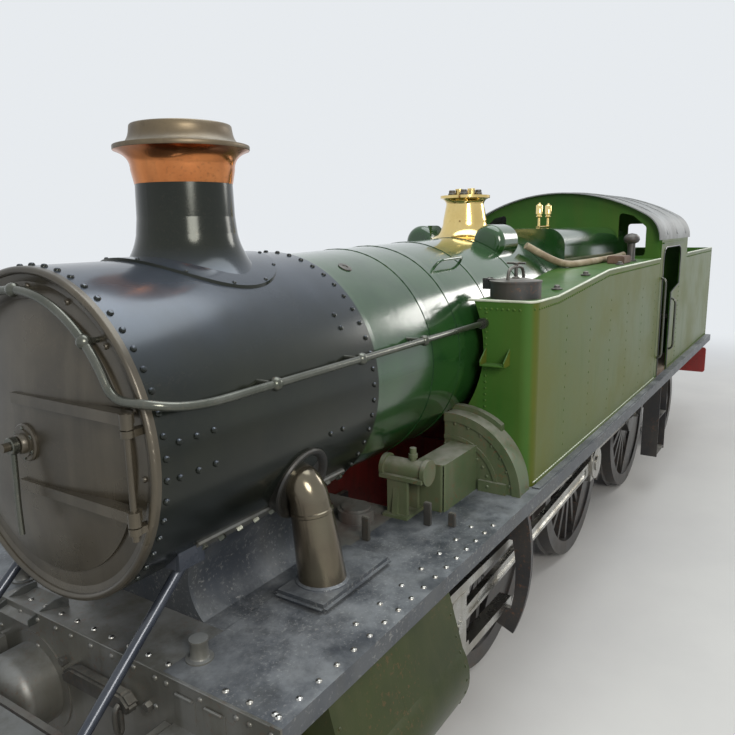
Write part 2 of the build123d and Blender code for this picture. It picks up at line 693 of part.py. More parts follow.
def running_plate():
    """Side footplates with their valances, wide ahead of the tanks and notched beside the wheels."""
    notch_x = LEADING_X + 760
    outline = [
        (PLATE_FRONT_X, PLATE_INNER_Y), (PLATE_FRONT_X, PLATE_HALF_WIDTH),
        (PLATE_REAR_X, PLATE_HALF_WIDTH), (PLATE_REAR_X, PLATE_WHEEL_Y),
        (notch_x, PLATE_WHEEL_Y), (notch_x, PLATE_INNER_Y),
    ]
    plate = extrude(Pos(0, 0, PLATE_UNDER_Z) * outline_face(*outline), amount=PLATE_T)
    plate += block(
        PLATE_REAR_X, PLATE_FRONT_X, VALANCE_INNER_Y, PLATE_HALF_WIDTH,
        PLATE_UNDER_Z - VALANCE_DEPTH, PLATE_UNDER_Z,
    )
    return both(plate)


FRONT_DECK_Z = BEAM_TOP_Z + PLATE_T
DECK_FRONT_X = FRONT_BEAM_X + 20
DECK_INNER_X = 1200
DROP_BACK_X = PLATE_FRONT_X + SEAT
DROP_FRONT_X = PLATE_FRONT_X + PLATE_T
DROP_FOOT_Z = 800
DOME_Y = -334
DOME_Z = 1116
DOME_R = 205
DOME_END_X = 1120
DOME_NOSE = 110
DOME_RING_R = 262


def front_platform():
    """Drop plate with the apron behind it, front decks and the round-nosed cover between the frames."""
    platform = block(DROP_BACK_X, DROP_FRONT_X, -PLATE_HALF_WIDTH, PLATE_HALF_WIDTH, BEAM_TOP_Z, PLATE_Z)
    platform += block(DROP_BACK_X, DROP_FRONT_X, -FRAME_INNER_Y, FRAME_INNER_Y, DROP_FOOT_Z, PLATE_Z)
    deck = block(DROP_BACK_X, DECK_FRONT_X, -PLATE_HALF_WIDTH, PLATE_HALF_WIDTH, BEAM_TOP_Z, FRONT_DECK_Z)
    deck -= block(DROP_FRONT_X, DECK_INNER_X, -PLATE_HALF_WIDTH + 600, PLATE_HALF_WIDTH - 600, 0, PLATE_Z)
    platform += deck
    apron_y = PLATE_INNER_Y - SEAT
    platform += block(SADDLE_HALF_LENGTH + SEAT, DROP_FRONT_X, -apron_y, apron_y, PLATE_UNDER_Z, PLATE_Z)
    for side in (LEFT, RIGHT):
        platform += block(
            DROP_BACK_X, DECK_FRONT_X, side * VALANCE_INNER_Y, side * PLATE_HALF_WIDTH,
            BEAM_TOP_Z - VALANCE_DEPTH, FRONT_DECK_Z,
        )
    platform += bar_x(DOME_Y, DOME_Z, DOME_RING_R, DROP_FRONT_X - 1, DROP_FRONT_X + 8)
    nose_x = DOME_END_X - DOME_NOSE
    nose = Pos(nose_x, DOME_Y, DOME_Z) * scale(Sphere(DOME_R), by=(DOME_NOSE / DOME_R, 1, 1))
    nose -= block(0, nose_x, DOME_Y - DOME_R, DOME_Y + DOME_R, DOME_Z - DOME_R, DOME_Z + DOME_R)
    return platform + nose + bar_x(DOME_Y, DOME_Z, DOME_R, DROP_FRONT_X, nose_x)


STAY_Y = 500
STAY_R = 26
STAY_TOP = (600, 1873)
STAY_FOOT_X = 1268


def front_stay():
    """Left stay rod from the foot of the smokebox down to the front deck, with its end flanges."""
    foot = Vector(STAY_FOOT_X, STAY_Y, FRONT_DECK_Z)
    head = Vector(STAY_TOP[0], STAY_Y, STAY_TOP[1])
    run = head - foot
    rod = Plane(origin=foot - run.normalized() * 50, z_dir=run) * Pos(0, 0, (run.length + 80) / 2) * Cylinder(
        STAY_R, run.length + 80
    )
    rod += block(head.X - 75, head.X + 75, STAY_Y - 45, STAY_Y + 45, head.Z - 20, head.Z + 200)
    rod -= bar_x(0, BOILER_Z, SMOKEBOX_R + SEAT, head.X - 200, head.X + 200)
    rod += bar_z(foot.X, STAY_Y, 62, FRONT_DECK_Z, FRONT_DECK_Z + 22)
    return rod - block(foot.X - 200, foot.X + 200, 0, 2 * STAY_Y, 0, FRONT_DECK_Z)


# Splashers, arches and rocker bearings ahead of the tanks

SPLASHER_FRONT_X = -1245
SPLASHER_TOP_Z = 1822
SPLASHER_INNER_Y = 655
SPLASHER_OUTER_Y = 862
SPLASHER_T = 6
ARCH_FRONT_X = -1750
ARCH_Y = 660
ARCH_R = 525
ARCH_T = 10
ARCH_RIM = 55
ARCH_RING_R = 357


def splasher():
    """Left splasher box over the front of the leading coupled wheel, open below and behind."""
    box = block(ARCH_FRONT_X, SPLASHER_FRONT_X, SPLASHER_INNER_Y, SPLASHER_OUTER_Y, PLATE_Z, SPLASHER_TOP_Z)
    front = box.edges().filter_by(Axis.Z).group_by(Axis.X)[-1]
    box = fillet(front, 30)
    return box - block(
        ARCH_FRONT_X - 1, SPLASHER_FRONT_X - SPLASHER_T, SPLASHER_INNER_Y + SPLASHER_T,
        SPLASHER_OUTER_Y - SPLASHER_T, 0, SPLASHER_TOP_Z - SPLASHER_T,
    )


def tank_arch():
    """Left half drum below the tank front, with its rimmed front plate and the lip over it."""
    upper = block(TANK_FRONT_X - 5, 0, 0, 2 * PLATE_HALF_WIDTH, PLATE_Z, 2 * PLATE_Z)
    drum = bar_x(ARCH_Y, PLATE_Z, ARCH_R, TANK_FRONT_X, ARCH_FRONT_X - SEAT)
    drum -= bar_x(ARCH_Y, PLATE_Z, ARCH_R - ARCH_T, TANK_FRONT_X - 5, ARCH_FRONT_X - ARCH_T)
    rim_x = ARCH_FRONT_X + 12
    rim = bar_x(ARCH_Y, PLATE_Z, ARCH_R + 6, ARCH_FRONT_X - 12, rim_x)
    rim -= bar_x(ARCH_Y, PLATE_Z, ARCH_R - ARCH_RIM, ARCH_FRONT_X - 15, rim_x + 5)
    ring = bar_x(ARCH_Y, PLATE_Z, ARCH_RING_R + 14, ARCH_FRONT_X - 5, ARCH_FRONT_X + 10)
    ring -= bar_x(ARCH_Y, PLATE_Z, ARCH_RING_R - 14, ARCH_FRONT_X - 10, ARCH_FRONT_X + 15)
    lip = bar_x(ARCH_Y, PLATE_Z, ARCH_R + 34, TANK_FRONT_X, TANK_FRONT_X + 55)
    lip -= bar_x(ARCH_Y, PLATE_Z, ARCH_R - 2, TANK_FRONT_X - 5, TANK_FRONT_X + 60)
    lip = lip & block(TANK_FRONT_X, TANK_FRONT_X + 60, ARCH_Y - 420, ARCH_Y + 330, PLATE_Z, 2 * PLATE_Z)
    boss = block(ARCH_FRONT_X - 5, ARCH_FRONT_X + 26, 885, 1090, PLATE_Z, PLATE_Z + 78)
    arch = (drum + rim + ring + lip + boss) & upper
    arch -= block(
        TANK_FRONT_X - 5, 0, SPLASHER_INNER_Y, SPLASHER_OUTER_Y, PLATE_Z - 5, SPLASHER_TOP_Z - SPLASHER_T
    )
    arch -= block(
        ARCH_FRONT_X - SEAT, 0, SPLASHER_INNER_Y - SEAT, SPLASHER_OUTER_Y + SEAT, 0, SPLASHER_TOP_Z + SEAT
    )
    arch -= block(TANK_FRONT_X - 5, 0, 0, PLATE_INNER_Y, 0, 2 * PLATE_Z)
    return arch - boiler_barrel(SEAT)


ROCKER_X = -1130
ROCKER_Z = 1800
ROCKER_R = 68


def rocker_bearing():
    """Left bearing of the valve rocking shaft: bolted drum with an oil cup on a webbed stand."""
    drum = bar_y(ROCKER_X, ROCKER_Z, ROCKER_R, 490, 820)
    drum += bar_y(ROCKER_X, ROCKER_Z, ROCKER_R + 16, 490, 520)
    drum += bar_y(ROCKER_X, ROCKER_Z, ROCKER_R + 16, 790, 820)
    drum += block(ROCKER_X - 95, ROCKER_X + 95, 500, 810, ROCKER_Z - 52, ROCKER_Z - 26)
    stand = side_plate(
        [
            (ROCKER_X - 90, ROCKER_Z - 40), (ROCKER_X - 100, PLATE_Z), (ROCKER_X + 110, PLATE_Z),
            (ROCKER_X + 75, ROCKER_Z - 40),
        ],
        600, 640,
    )
    stand += block(ROCKER_X - 110, ROCKER_X + 120, 540, 720, PLATE_Z, PLATE_Z + 20)
    for x in (ROCKER_X - 70, ROCKER_X + 70):
        stand += block(x - 14, x + 14, 555, 700, PLATE_Z, ROCKER_Z - 30)
    cup = bar_z(ROCKER_X, 700, 22, ROCKER_Z + 40, ROCKER_Z + 150)
    cup += bar_z(ROCKER_X, 700, 30, ROCKER_Z + 85, ROCKER_Z + 110)
    return drum + stand + cup


# Smokebox group

SADDLE_TOP_HALF_WIDTH = 520
SADDLE_FOOT_HALF_WIDTH = 480
SADDLE_WAIST_HALF_WIDTH = 395
SADDLE_WAIST_Z = 1650
SADDLE_TOP_Z = 1900


def smokebox_saddle():
    """Casting between the cylinders that carries the smokebox."""
    inner = FRAME_INNER_Y
    low = PONY_POCKET_Z + 15
    foot = SADDLE_FOOT_HALF_WIDTH
    waist = SADDLE_WAIST_HALF_WIDTH
    top = SADDLE_TOP_HALF_WIDTH
    section = make_face(
        Polyline(
            (-foot, PLATE_Z), (-inner, FRAME_TOP_Z), (-inner, low), (inner, low), (inner, FRAME_TOP_Z),
            (foot, PLATE_Z),
        )
        + ThreePointArc((foot, PLATE_Z), (waist, SADDLE_WAIST_Z), (top, SADDLE_TOP_Z))
        + Polyline((top, SADDLE_TOP_Z), (top, BOILER_Z), (-top, BOILER_Z), (-top, SADDLE_TOP_Z))
        + ThreePointArc((-top, SADDLE_TOP_Z), (-waist, SADDLE_WAIST_Z), (-foot, PLATE_Z))
    )
    saddle = cross_plate(section, -SADDLE_HALF_LENGTH, SADDLE_HALF_LENGTH)
    saddle -= bar_x(0, BOILER_Z, SMOKEBOX_R, -SADDLE_HALF_LENGTH - 5, SADDLE_HALF_LENGTH + 5)
    wings = both(
        block(CYLINDER_REAR_X + 90, CYLINDER_FRONT_X - 60, FRAME_OUTER_Y, CHEST_INNER_Y, low, PLATE_UNDER_Z)
    )
    return [saddle] + wings


def smokebox_shell():
    """Riveted cylindrical shell, open at the front plate and cut for the chimney."""
    shell = bar_x(0, BOILER_Z, SMOKEBOX_R, SMOKEBOX_REAR_X, SMOKEBOX_FRONT_X - 20)
    shell -= bar_x(
        0, BOILER_Z, SMOKEBOX_R - SMOKEBOX_T, SMOKEBOX_REAR_X + 25, SMOKEBOX_FRONT_X + 5
    )
    return shell - bar_z(0, 0, CHIMNEY_BORE_R, BOILER_Z, BOILER_Z + SMOKEBOX_R + 5)


RING_WIDTH = 34
HINGE_LUGS_Z = (2250, 2640)
STRAP_DEPTH = 46
STRAP_REACH = 70
LUG_DROP = 70
LUG_T = 28
HINGE_EYE_R = 26


def smokebox_front():
    """Front plate with its rolled outer ring, the door seat and the hinge lugs."""
    front = SMOKEBOX_FRONT_X
    profile = make_face(
        Polyline(
            (DOOR_R - 45, front - 20), (SMOKEBOX_R, front - 20), (SMOKEBOX_R, front),
        )
        + ThreePointArc(
            (SMOKEBOX_R, front), (SMOKEBOX_R - RING_WIDTH / 2, front + RING_WIDTH / 2),
            (SMOKEBOX_R - RING_WIDTH, front),
        )
        + Polyline(
            (SMOKEBOX_R - RING_WIDTH, front), (SMOKEBOX_R - RING_WIDTH - 30, front - 8),
            (DOOR_R - 45, front - 8), (DOOR_R - 45, front - 20),
        )
    )
    ring = revolve(profile, Axis.Y)
    plate = Pos(0, 0, BOILER_Z) * Rot(0, 0, -90) * ring
    for z in HINGE_LUGS_Z:
        low = z - LUG_DROP
        lug = block(front - 12, HINGE_X, HINGE_Y - 20, HINGE_Y + 20, low, low + LUG_T)
        lug += bar_z(HINGE_X, HINGE_Y, HINGE_EYE_R, low, low + LUG_T)
        lug -= bar_z(HINGE_X, HINGE_Y, HINGE_PIN_R + PIN_FIT, low - 10, low + 2 * LUG_T)
        plate += lug
    return plate


def smokebox_door():
    """Dished door with two hinge straps, the hinge bar and the centre dart."""
    seat = SMOKEBOX_FRONT_X - 8 + 0.5
    rise = DOOR_DISH
    half = DOOR_R
    dish_r = (half**2 + rise**2) / (2 * rise)
    outer = make_face(
        Polyline((0, seat + rise + 8), (0, seat + rise - DOOR_T), (0, seat + rise - DOOR_T - 1))
        + ThreePointArc(
            (0, seat + rise - DOOR_T - 1),
            (half * 0.5, seat + rise - DOOR_T - 1 - (dish_r - sqrt(dish_r**2 - (half * 0.5) ** 2))),
            (half - 40, seat + 2),
        )
        + Polyline((half - 40, seat + 2), (half - 40, seat), (half, seat), (half, seat + 12))
        + ThreePointArc(
            (half, seat + 12),
            (half * 0.5, seat + 8 + rise - (dish_r - sqrt(dish_r**2 - (half * 0.5) ** 2))),
            (0, seat + rise + 8),
        )
    )
    door = Pos(0, 0, BOILER_Z) * Rot(0, 0, -90) * revolve(outer, Axis.Y)
    crown = seat + rise
    for z in HINGE_LUGS_Z:
        strap = block(
            SMOKEBOX_FRONT_X + RING_WIDTH / 2 + 6, crown + 18, -STRAP_REACH, HINGE_Y,
            z - STRAP_DEPTH / 2, z + STRAP_DEPTH / 2,
        )
        strap -= Pos(crown + 7 - dish_r, 0, BOILER_Z) * Sphere(dish_r)
        door += strap
        door += bar_z(HINGE_X, HINGE_Y, HINGE_EYE_R, z - LUG_DROP + LUG_T + SIDE_GAP, z + STRAP_DEPTH / 2)
    bar_end = HINGE_LUGS_Z[0] - LUG_DROP - LUG_T
    door += bar_z(HINGE_X, HINGE_Y, HINGE_PIN_R, bar_end, HINGE_LUGS_Z[1] + STRAP_DEPTH / 2 + 3)
    door += bar_x(0, BOILER_Z, 62, crown - 10, crown + 30)
    door += bar_x(0, BOILER_Z, 20, crown, crown + 120)
    return door


def blast_pipe():
    """Blast pipe that stands on the smokebox floor below the chimney."""
    inside = SMOKEBOX_R - SMOKEBOX_T - SEAT
    base_z = BOILER_Z - inside
    column = Pos(0, 0, base_z + 270) * Cone(150, 95, 540)
    column -= bar_z(0, 0, 62, base_z + 140, base_z + 560)
    return column & bar_x(0, BOILER_Z, inside, -400, 400)


CHIMNEY_FOOT_R = 450
CHIMNEY_FLANGE_T = 14
CHIMNEY_FLARE_FOOT_R = 425
CHIMNEY_FLARE_DROP = 120
CHIMNEY_FLARE_R = 305
CHIMNEY_WAIST = 8


def chimney():
    """Thin saddle flange, flared base and slightly waisted body, bored right through."""
    crown = SMOKEBOX_CROWN_Z
    body_height = CHIMNEY_CAP_Z - crown
    foot = crown - SMOKEBOX_R * 0.42
    flare_top = crown + body_height * 0.32
    flare_foot = crown - CHIMNEY_FLARE_DROP
    profile = make_face(
        Polyline((0, foot), (CHIMNEY_FLARE_FOOT_R, foot), (CHIMNEY_FLARE_FOOT_R, flare_foot))
        + ThreePointArc(
            (CHIMNEY_FLARE_FOOT_R, flare_foot),
            (CHIMNEY_FLARE_R, crown - body_height * 0.02),
            (CHIMNEY_R + 5, flare_top),
        )
        + Polyline(
            (CHIMNEY_R + 5, flare_top), (CHIMNEY_R - CHIMNEY_WAIST / 2, crown + body_height * 0.55),
            (CHIMNEY_R - CHIMNEY_WAIST, CHIMNEY_CAP_Z), (0, CHIMNEY_CAP_Z), (0, foot),
        )
    )
    flange = bar_z(0, 0, CHIMNEY_FOOT_R, foot, CHIMNEY_CAP_Z)
    flange = flange & bar_x(0, BOILER_Z, SMOKEBOX_R + CHIMNEY_FLANGE_T, -CHIMNEY_FOOT_R, CHIMNEY_FOOT_R)
    stack = flange + revolve(Plane.XZ * profile, Axis.Z)
    stack -= bar_z(0, 0, CHIMNEY_BORE_R, 0, 2 * CHIMNEY_TOP_Z)
    return stack - bar_x(0, BOILER_Z, SMOKEBOX_R + SEAT, -2 * CHIMNEY_FOOT_R, 2 * CHIMNEY_FOOT_R)


# Outline of the cap: radius, and height as a share of the cap's height
CAP_NECK = (CHIMNEY_R + 8, 0.24)
CAP_SWELL = (CHIMNEY_R + 26, 0.44)
CAP_LIP = (CHIMNEY_LIP_R, 0.57)
CAP_LIP_TOP = (CHIMNEY_LIP_R, 0.645)
CAP_SHOULDER = (CHIMNEY_R + 36, 0.74)
CAP_RIM = (CHIMNEY_R + 14, 0.95)


def chimney_cap():
    """Rolled cap with its wide lip and narrower rim."""
    base = CHIMNEY_CAP_Z
    neck, swell, lip, lip_top, shoulder, rim = (
        (radius, base + share * CHIMNEY_CAP_HEIGHT)
        for radius, share in (CAP_NECK, CAP_SWELL, CAP_LIP, CAP_LIP_TOP, CAP_SHOULDER, CAP_RIM)
    )
    profile = make_face(
        Polyline((CHIMNEY_BORE_R, base), (CHIMNEY_R - 6, base), neck)
        + ThreePointArc(neck, swell, lip)
        + Line(lip, lip_top)
        + ThreePointArc(lip_top, shoulder, rim)
        + Polyline(
            rim, (CHIMNEY_R + 4, CHIMNEY_TOP_Z), (CHIMNEY_R - 22, CHIMNEY_TOP_Z),
            (CHIMNEY_BORE_R, neck[1]), (CHIMNEY_BORE_R, base),
        )
    )
    return revolve(Plane.XZ * profile, Axis.Z)


def boiler_barrel(spare=0):
    """Clad barrel, coned towards the firebox, made larger all round by the spare."""
    front = cross_plane(SMOKEBOX_REAR_X) * Pos(0, BOILER_Z) * Circle(BARREL_FRONT_R + spare)
    rear = cross_plane(BARREL_REAR_X) * Pos(0, BOILER_Z + BARREL_RISE) * Circle(BARREL_REAR_R + spare)
    return loft([front, rear])


def firebox():
    """Square-topped firebox with rounded shoulders and waisted lower sides."""
    half = FIREBOX_HALF_WIDTH
    foot = FIREBOX_FOOT_HALF_WIDTH
    section = outline_face(
        (-foot, FIREBOX_FOOT_Z), (foot, FIREBOX_FOOT_Z), (foot, PLATE_Z + 150), (half, BOILER_Z - 350),
        (half, FIREBOX_TOP_Z), (-half, FIREBOX_TOP_Z), (-half, BOILER_Z - 350), (-foot, PLATE_Z + 150),
    )
    corners = section.vertices().group_by(Axis.Y)[-1]
    section = fillet(corners, FIREBOX_CORNER_R)
    return cross_plate(section, FIREBOX_REAR_X, BARREL_REAR_X)


ASHPAN_AXLE_GAP = 280
ASHPAN_LIP_Z = 720
ASHPAN_SLOPE = 140


def ashpan():
    """Ashpan below the firebox between the driving and trailing coupled axles."""
    front = DRIVING_X - ASHPAN_AXLE_GAP
    rear = TRAILING_X + ASHPAN_AXLE_GAP
    outline = [
        (front, FIREBOX_FOOT_Z), (front, ASHPAN_LIP_Z), (front - ASHPAN_SLOPE, FRAME_DEEP_Z),
        (rear + ASHPAN_SLOPE, FRAME_DEEP_Z), (rear, ASHPAN_LIP_Z), (rear, FIREBOX_FOOT_Z),
    ]
    return side_plate(outline, -FIREBOX_FOOT_HALF_WIDTH + 10, FIREBOX_FOOT_HALF_WIDTH - 10)


VALVE_TOP_Z = 3600
VALVE_SEAT_Z = 3215
VALVE_FLARE = (240, VALVE_SEAT_Z + 52)
VALVE_WAIST = (196, VALVE_SEAT_Z + 165)


def safety_valve():
    """Flared bonnet with its top flange and the two valves that stand in it."""
    top = VALVE_TOP_Z
    base = VALVE_SEAT_Z
    profile = make_face(
        Polyline((0, base - 120), (VALVE_BASE_R, base - 120), (VALVE_BASE_R, base))
        + ThreePointArc((VALVE_BASE_R, base), VALVE_FLARE, VALVE_WAIST)
        + Line(VALVE_WAIST, (VALVE_BODY_R, top - 75))
        + ThreePointArc((VALVE_BODY_R, top - 75), (VALVE_BODY_R + 16, top - 42), (VALVE_LIP_R, top - 24))
        + Polyline((VALVE_LIP_R, top - 24), (VALVE_LIP_R, top), (0, top), (0, base - 120))
    )
    bonnet = Pos(VALVE_X, 0, 0) * revolve(Plane.XZ * profile, Axis.Z)
    for y in (-60, 60):
        bonnet += bar_z(VALVE_X, y, 34, top - 5, top + 60)
    return bonnet - boiler_barrel(SEAT)


PIPE_R = 132
PIPE_FOOT = (-50, 830)
PIPE_HEAD = (-80, 560, 2180)
PIPE_BAND_PLACE = 0.41
PIPE_RING_PLACE = 0.806
CASING_X = (-479, 157)
CASING_OUTER_Y = 940
CASING_T = 46


def steam_pipe():
    """Left outside steam pipe with its joint band, smokebox ring and casing on the plate."""
    foot = Vector(*PIPE_FOOT, PLATE_Z)
    head = Vector(*PIPE_HEAD)
    run = head - foot
    plane = Plane(origin=foot, z_dir=run)
    pipe = plane * Pos(0, 0, run.length / 2) * Cylinder(PIPE_R, run.length + 60)
    pipe += plane * Pos(0, 0, run.length * PIPE_BAND_PLACE) * Cylinder(PIPE_R + 7, 55)
    pipe += plane * Pos(0, 0, run.length * PIPE_RING_PLACE) * Cylinder(PIPE_R + 52, 130)
    pipe -= bar_x(0, BOILER_Z, SMOKEBOX_R + SEAT, -600, 600)
    casing = block(*CASING_X, FRAME_INNER_Y, CASING_OUTER_Y, PLATE_Z, PLATE_Z + CASING_T)
    edge = casing.edges().filter_by(Axis.X).group_by(Axis.Y)[-1].sort_by(Axis.Z)[-1]
    pipe += fillet(edge, CASING_T * 0.6)
    pipe += plane * Pos(0, 0, 50) * Cylinder(PIPE_R + 22, 60)
    return pipe - block(-600, 600, 0, 2 * CASING_OUTER_Y, 0, PLATE_Z)


def feed_cover():
    """Left cover over the feed pipes beside the safety valve."""
    cover = Pos(VALVE_X + 60, 330, 3190) * Rot(0, 90, 0) * Cylinder(150, 420)
    cover = fillet(cover.edges().filter_by(GeomType.CIRCLE), 70)
    return cover - boiler_barrel(SEAT) - bar_z(VALVE_X, 0, VALVE_BASE_R + 1, 2500, 3800)


RAIL_R = 19
RAIL_Y = 820
RAIL_Z = 2660
RAIL_BEND_X = 600
RAIL_FRONT_X = 970
RAIL_ARC_R = 630
RAIL_ARC_Z = 2470
RAIL_START_Z = 2760
RAIL_PILLARS_X = (300, -380, -1060)
RAIL_SIDE_Y = 445
RAIL_SIDE_Z = RAIL_ARC_Z + sqrt(RAIL_ARC_R**2 - RAIL_SIDE_Y**2)
PILLAR_R = 12
RAIL_VIA = (958, 712, 2702)


def handrail():
    """Handrail along both sides and over the smokebox door, with its pillars."""
    start_y = sqrt(RAIL_ARC_R**2 - (RAIL_START_Z - RAIL_ARC_Z) ** 2)
    slope = ((RAIL_START_Z - RAIL_ARC_Z) / RAIL_ARC_R, start_y / RAIL_ARC_R)
    arc = ThreePointArc(
        (RAIL_FRONT_X, start_y, RAIL_START_Z),
        (RAIL_FRONT_X, 0, RAIL_ARC_Z + RAIL_ARC_R),
        (RAIL_FRONT_X, -start_y, RAIL_START_Z),
    )
    rail = sweep(Plane(arc @ 0, z_dir=arc % 0) * Circle(RAIL_R), arc)
    for side in (LEFT, RIGHT):
        bend = Spline(
            (RAIL_FRONT_X, side * start_y, RAIL_START_Z), (RAIL_VIA[0], side * RAIL_VIA[1], RAIL_VIA[2]),
            (RAIL_BEND_X, side * RAIL_Y, RAIL_Z),
            tangents=((0, side * slope[0], -slope[1]), (-1, 0, 0)),
        )
        rail += sweep(Plane(bend @ 0, z_dir=bend % 0) * Circle(RAIL_R), bend)
        rail += bar_x(side * RAIL_Y, RAIL_Z, RAIL_R, TANK_FRONT_X, RAIL_BEND_X)
        rail += bar_x(side * RAIL_Y, RAIL_Z, RAIL_R * 2, TANK_FRONT_X, TANK_FRONT_X + 40)
        for x in RAIL_PILLARS_X:
            rail += bar_y(x, RAIL_Z, PILLAR_R, side * (RAIL_Y - 160), side * RAIL_Y)
            rail += Pos(x, side * RAIL_Y, RAIL_Z) * Sphere(RAIL_R + 14)
    for y, z in ((0, RAIL_ARC_Z + RAIL_ARC_R), (RAIL_SIDE_Y, RAIL_SIDE_Z), (-RAIL_SIDE_Y, RAIL_SIDE_Z)):
        rail += bar_x(y, z, PILLAR_R, SMOKEBOX_FRONT_X - 8, RAIL_FRONT_X)
        rail += Pos(RAIL_FRONT_X, y, z) * Sphere(RAIL_R + PILLAR_R)
    rail -= bar_x(0, BOILER_Z, SMOKEBOX_R + SEAT, SMOKEBOX_REAR_X - 50, SMOKEBOX_FRONT_X - 50)
    return rail - boiler_barrel(SEAT)


# Tanks, cab and bunker


def side_tank():
    """Left tank: sloped front top, stepped over the wheels and hollowed round the boiler."""
    side_view = outline_face(
        (TANK_FRONT_X, PLATE_Z), (TANK_FRONT_X, TANK_FRONT_Z), (TANK_SLOPE_START_X, TANK_FRONT_Z),
        (TANK_SLOPE_END_X, TANK_TOP_Z), (CAB_FRONT_X, TANK_TOP_Z), (CAB_FRONT_X, PLATE_Z),
    )
    body = extrude(side_plane(500) * side_view, amount=BODY_HALF_WIDTH - 500, dir=(0, 1, 0))
    body -= block(TANK_FRONT_X + 5, CAB_FRONT_X - 5, 0, TANK_INNER_Y, 0, TANK_STEP_Z)
    gap_r = BARREL_REAR_R + TANK_BOILER_GAP
    body -= bar_x(0, BOILER_Z + BARREL_RISE, gap_r, TANK_FRONT_X + 5, CAB_FRONT_X - 5)
    body -= block(
        BARREL_REAR_X + 60, CAB_FRONT_X - 5, 0, FIREBOX_HALF_WIDTH + TANK_BOILER_GAP, 0, TANK_TOP_Z + 50
    )
    edges = body.edges().filter_by(Axis.Z).group_by(Axis.X)[-1]
    corner = [edge for edge in edges if edge.center().Y > BODY_HALF_WIDTH - 5]
    return fillet(corner, TANK_CORNER_R)


FILLER_X = -2180
FILLER_Y = 950
FILLER_R = 180
FILLER_HEIGHT = 110
FILLER_WALL = 14
FILLER_FLOOR_T = 24


LID_PIN_R = 8
LID_T = 14
LID_HINGE_Y = FILLER_Y - FILLER_R - 34
LID_HINGE_Z = TANK_FRONT_Z + FILLER_HEIGHT + 12


def filler_neck():
    """Open filler neck on the tank top with the two lugs of its lid hinge."""
    z0 = TANK_FRONT_Z
    top = z0 + FILLER_HEIGHT
    neck = bar_z(FILLER_X, FILLER_Y, FILLER_R, z0, top)
    for offset in (-45, 45):
        lug = block(
            FILLER_X + offset - 8, FILLER_X + offset + 8, LID_HINGE_Y - 18, FILLER_Y - FILLER_R + 20,
            top - 50, LID_HINGE_Z + 16,
        )
        lug -= block(
            FILLER_X + offset - 9, FILLER_X + offset + 9, LID_HINGE_Y + 20, FILLER_Y - FILLER_R + 21,
            top, LID_HINGE_Z + 20,
        )
        neck += lug
    neck -= bar_z(FILLER_X, FILLER_Y, FILLER_R - FILLER_WALL, z0 + FILLER_FLOOR_T, top + 5)
    return neck - bar_x(LID_HINGE_Y, LID_HINGE_Z, LID_PIN_R + 0.5, FILLER_X - 100, FILLER_X + 100)


def tank_lid():
    """Domed filler lid with its hinge eye, pin and handle."""
    z0 = TANK_FRONT_Z + FILLER_HEIGHT + 0.5
    lid = bar_z(FILLER_X, FILLER_Y, FILLER_R + 6, z0, z0 + LID_T)
    lid += Pos(FILLER_X, FILLER_Y, z0 + LID_T + 7) * Cone(FILLER_R - 20, FILLER_R - 90, 14)
    lid += block(FILLER_X - 30, FILLER_X + 30, LID_HINGE_Y, FILLER_Y - FILLER_R + 60, z0, z0 + LID_T + 6)
    lid += bar_x(LID_HINGE_Y, LID_HINGE_Z, 15, FILLER_X - 30, FILLER_X + 30)
    return lid + bar_x(LID_HINGE_Y, LID_HINGE_Z, LID_PIN_R, FILLER_X - 62, FILLER_X + 62)


def cab_outline(inset):
    """Upper outline of the cab in section, set in by a plate thickness."""
    big = ROOF_R - inset
    small = ROOF_CORNER_R - inset
    half = BODY_HALF_WIDTH - inset
    centre_z = ROOF_TOP_Z - ROOF_R
    corner_y = BODY_HALF_WIDTH - ROOF_CORNER_R
    corner_z = centre_z + sqrt((ROOF_R - ROOF_CORNER_R) ** 2 - corner_y**2)
    tilt = atan2(corner_z - centre_z, corner_y)
    join = (big * cos(tilt), centre_z + big * sin(tilt))
    middle = tilt / 2
    bend = (corner_y + small * cos(middle), corner_z + small * sin(middle))
    return [(half, corner_z), bend, join, (0, centre_z + big)]


def roof_arcs(inset):
    """The three arcs of the roof from the left eave to the right one."""
    eave, bend, join, crown = cab_outline(inset)
    return (
        ThreePointArc(eave, bend, join)
        + ThreePointArc(join, crown, (-join[0], join[1]))
        + ThreePointArc((-join[0], join[1]), (-bend[0], bend[1]), (-eave[0], eave[1]))
    )


def cab_section(inset, floor_z):
    """Face of the whole cab section down to a level."""
    eave = cab_outline(inset)[0]
    return make_face(
        roof_arcs(inset)
        + Polyline((-eave[0], eave[1]), (-eave[0], floor_z), (eave[0], floor_z), (eave[0], eave[1]))
    )


def cab_roof():
    """Curved roof sheet between the eaves."""
    outer = cab_section(0, EAVE_Z)
    inner = cab_section(ROOF_T, EAVE_Z - 2 * ROOF_CORNER_R)
    return cross_plate(outer - inner, ROOF_REAR_X, ROOF_FRONT_X)


SPECTACLE = [(700, 2960), (1010, 2960), (1010, 3290), (860, 3420), (700, 3460)]


